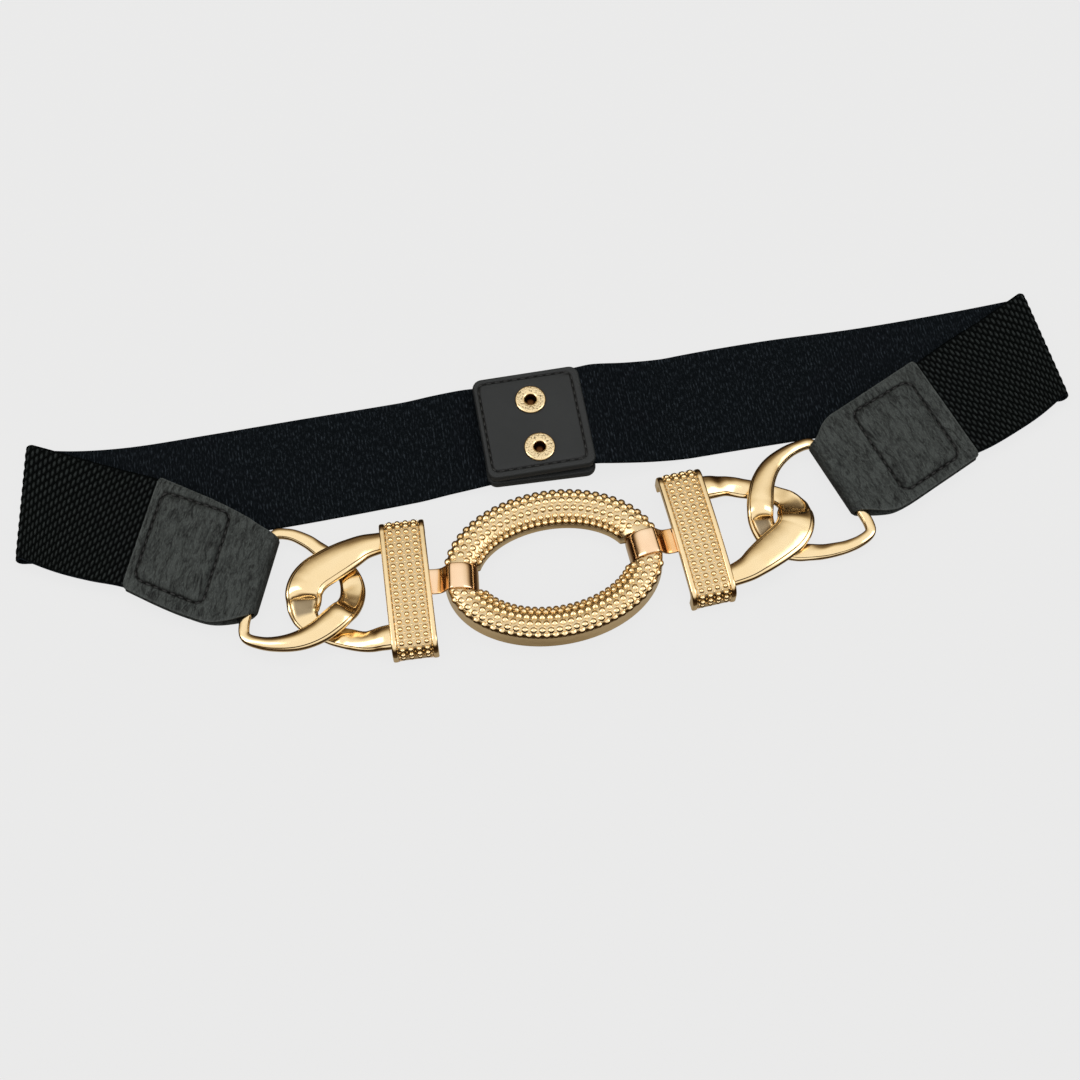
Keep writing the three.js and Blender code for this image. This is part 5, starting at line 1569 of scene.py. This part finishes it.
def stage_piece(name, points, faces, material):
    """A part of the stage that the metal doesn't mirror."""
    mesh = bpy.data.meshes.new(name)
    mesh.from_pydata(points, [], faces)
    mesh.materials.append(material)
    piece = bpy.data.objects.new(name, mesh)
    bpy.context.scene.collection.objects.link(piece)
    piece.visible_glossy = False
    return piece


def studio_floor(size, colour):
    """A square floor, and pale walls on its edges that only the camera sees."""
    material = glowing_paper(colour)
    half = size / 2
    corners = [(-half, -half), (half, -half), (half, half), (-half, half)]
    floor = [(x, y, 0.0) for x, y in corners]
    stage_piece("studio_floor", floor, [(0, 1, 2, 3)], material)
    top = [(x, y, size) for x, y in corners]
    sides = [((k + 1) % 4, k, k + 4, (k + 1) % 4 + 4) for k in range(4)]
    walls = stage_piece("studio_walls", floor + top, sides, material)
    walls.visible_diffuse = walls.visible_shadow = walls.visible_transmission = False


def studio_light(name, place, target, size, power, tint):
    """A rectangular soft light that faces a point."""
    lamp = bpy.data.lights.new(name, "AREA")
    lamp.shape, lamp.size, lamp.size_y, lamp.energy, lamp.color = "RECTANGLE", *size, power, tint
    light = bpy.data.objects.new(name, lamp)
    light.location = place
    light.rotation_euler = (Vector(place) - Vector(target)).to_track_quat("Z", "Y").to_euler()
    light.visible_glossy = name != "Overhead"
    bpy.context.scene.collection.objects.link(light)


def colour_scale(tree, value, bands):
    """Colours by a value from -1 to 1, blended from each band to the next."""
    level = add_node(tree, "ShaderNodeMapRange", {"Value": value, "From Min": -1.0})
    ramp = add_node(tree, "ShaderNodeValToRGB", {0: level.outputs["Result"]})
    stops = ramp.color_ramp.elements
    while len(stops) < len(bands):
        stops.new(0.5)
    for stop, (height, code) in zip(stops, bands):
        stop.position, stop.color = (height + 1) / 2, rgba(linear(code))
    return ramp.outputs["Color"]


def studio_world():
    """Light from all round: bright overhead and towards the camera's side, browner on the far side, dark
    along the horizon and grey from below, like a table with a dark room round it."""
    world = bpy.data.worlds.new("Studio")
    world.use_nodes = True
    tree = world.node_tree
    tree.nodes.clear()
    place = add_node(tree, "ShaderNodeTexCoord").outputs["Generated"]
    share = add_node(tree, "ShaderNodeVectorMath", {0: place, 1: WORLD_SLOPE}, operation="DOT_PRODUCT")
    height = add_node(tree, "ShaderNodeVectorMath", {0: place, 1: (0.0, 0.0, 1.0)}, operation="DOT_PRODUCT")
    sides = {
        "Factor": 1.0, 6: colour_scale(tree, share.outputs["Value"], WORLD_BANDS),
        7: colour_scale(tree, height.outputs["Value"], HORIZON_BANDS),
    }
    both = add_node(tree, "ShaderNodeMix", sides, data_type="RGBA", blend_type="MULTIPLY")
    light = add_node(tree, "ShaderNodeBackground", {"Color": both.outputs[2], "Strength": WORLD_STRENGTH})
    output = add_node(tree, "ShaderNodeOutputWorld", {"Surface": light.outputs["Background"]})
    output.is_active_output = True
    bpy.context.scene.world = world


class BELT_OT_stage(bpy.types.Operator):
    """The floor, the soft lights and the camera at the photograph's angle"""

    bl_idname = "belt.stage"
    bl_label = "Stage"

    def execute(self, context):
        sizes = context.scene.belt_stage
        middle = Vector(SHIFT / MM)
        studio_floor(FLOOR_SIZE, sizes.floor)
        studio_world()
        for name, offset, size, share, tint in STUDIO_LIGHTS:
            studio_light(name, middle + Vector(offset), middle, size, share * sizes.soft_light, tint)
        tilt = math.radians(CAMERA_ELEVATION)
        back = Vector((0, -math.cos(tilt), math.sin(tilt)))
        camera = bpy.data.objects.new("Camera", bpy.data.cameras.new("Camera"))
        camera.data.lens, camera.data.sensor_width = CAMERA_LENS, 36.0
        camera.data.clip_start = 0.01
        camera.location = middle + back * CAMERA_DISTANCE
        camera.rotation_euler = back.to_track_quat("Z", "Y").to_euler()
        context.scene.collection.objects.link(camera)
        context.scene.camera = camera
        context.scene.view_settings.view_transform = "Standard"
        return {"FINISHED"}


class BELT_PT_panel(bpy.types.Panel):
    """Lists the belt's operators in the sidebar"""

    bl_idname = "BELT_PT_panel"
    bl_label = "Chain belt"
    bl_space_type = "VIEW_3D"
    bl_region_type = "UI"
    bl_category = "Belt"

    def draw(self, context):
        for operator in OPERATORS:
            self.layout.operator(operator.bl_idname)


SETTINGS = {
    "belt_webbing": WebbingSettings, "belt_leather": LeatherSettings, "belt_metal": MetalSettings,
    "belt_stage": StageSettings,
}
OPERATORS = (
    BELT_OT_stage, BELT_OT_webbing, BELT_OT_tabs, BELT_OT_strap_links, BELT_OT_plates, BELT_OT_strips,
    BELT_OT_oval, BELT_OT_patches, BELT_OT_snaps,
)
CLASSES = (*SETTINGS.values(), *OPERATORS, BELT_PT_panel)


def register():
    for kind in CLASSES:
        bpy.utils.register_class(kind)
    for name, group in SETTINGS.items():
        setattr(bpy.types.Scene, name, PointerProperty(type=group))


def unregister():
    for name in SETTINGS:
        delattr(bpy.types.Scene, name)
    for kind in reversed(CLASSES):
        bpy.utils.unregister_class(kind)


def main():
    register()
    bpy.ops.belt.stage()
    bpy.ops.belt.webbing()
    bpy.ops.belt.tabs()
    bpy.ops.belt.strap_links()
    bpy.ops.belt.plates()
    bpy.ops.belt.strips()
    bpy.ops.belt.oval()
    bpy.ops.belt.patches()
    bpy.ops.belt.snaps()


if __name__ == "__main__":
    main()
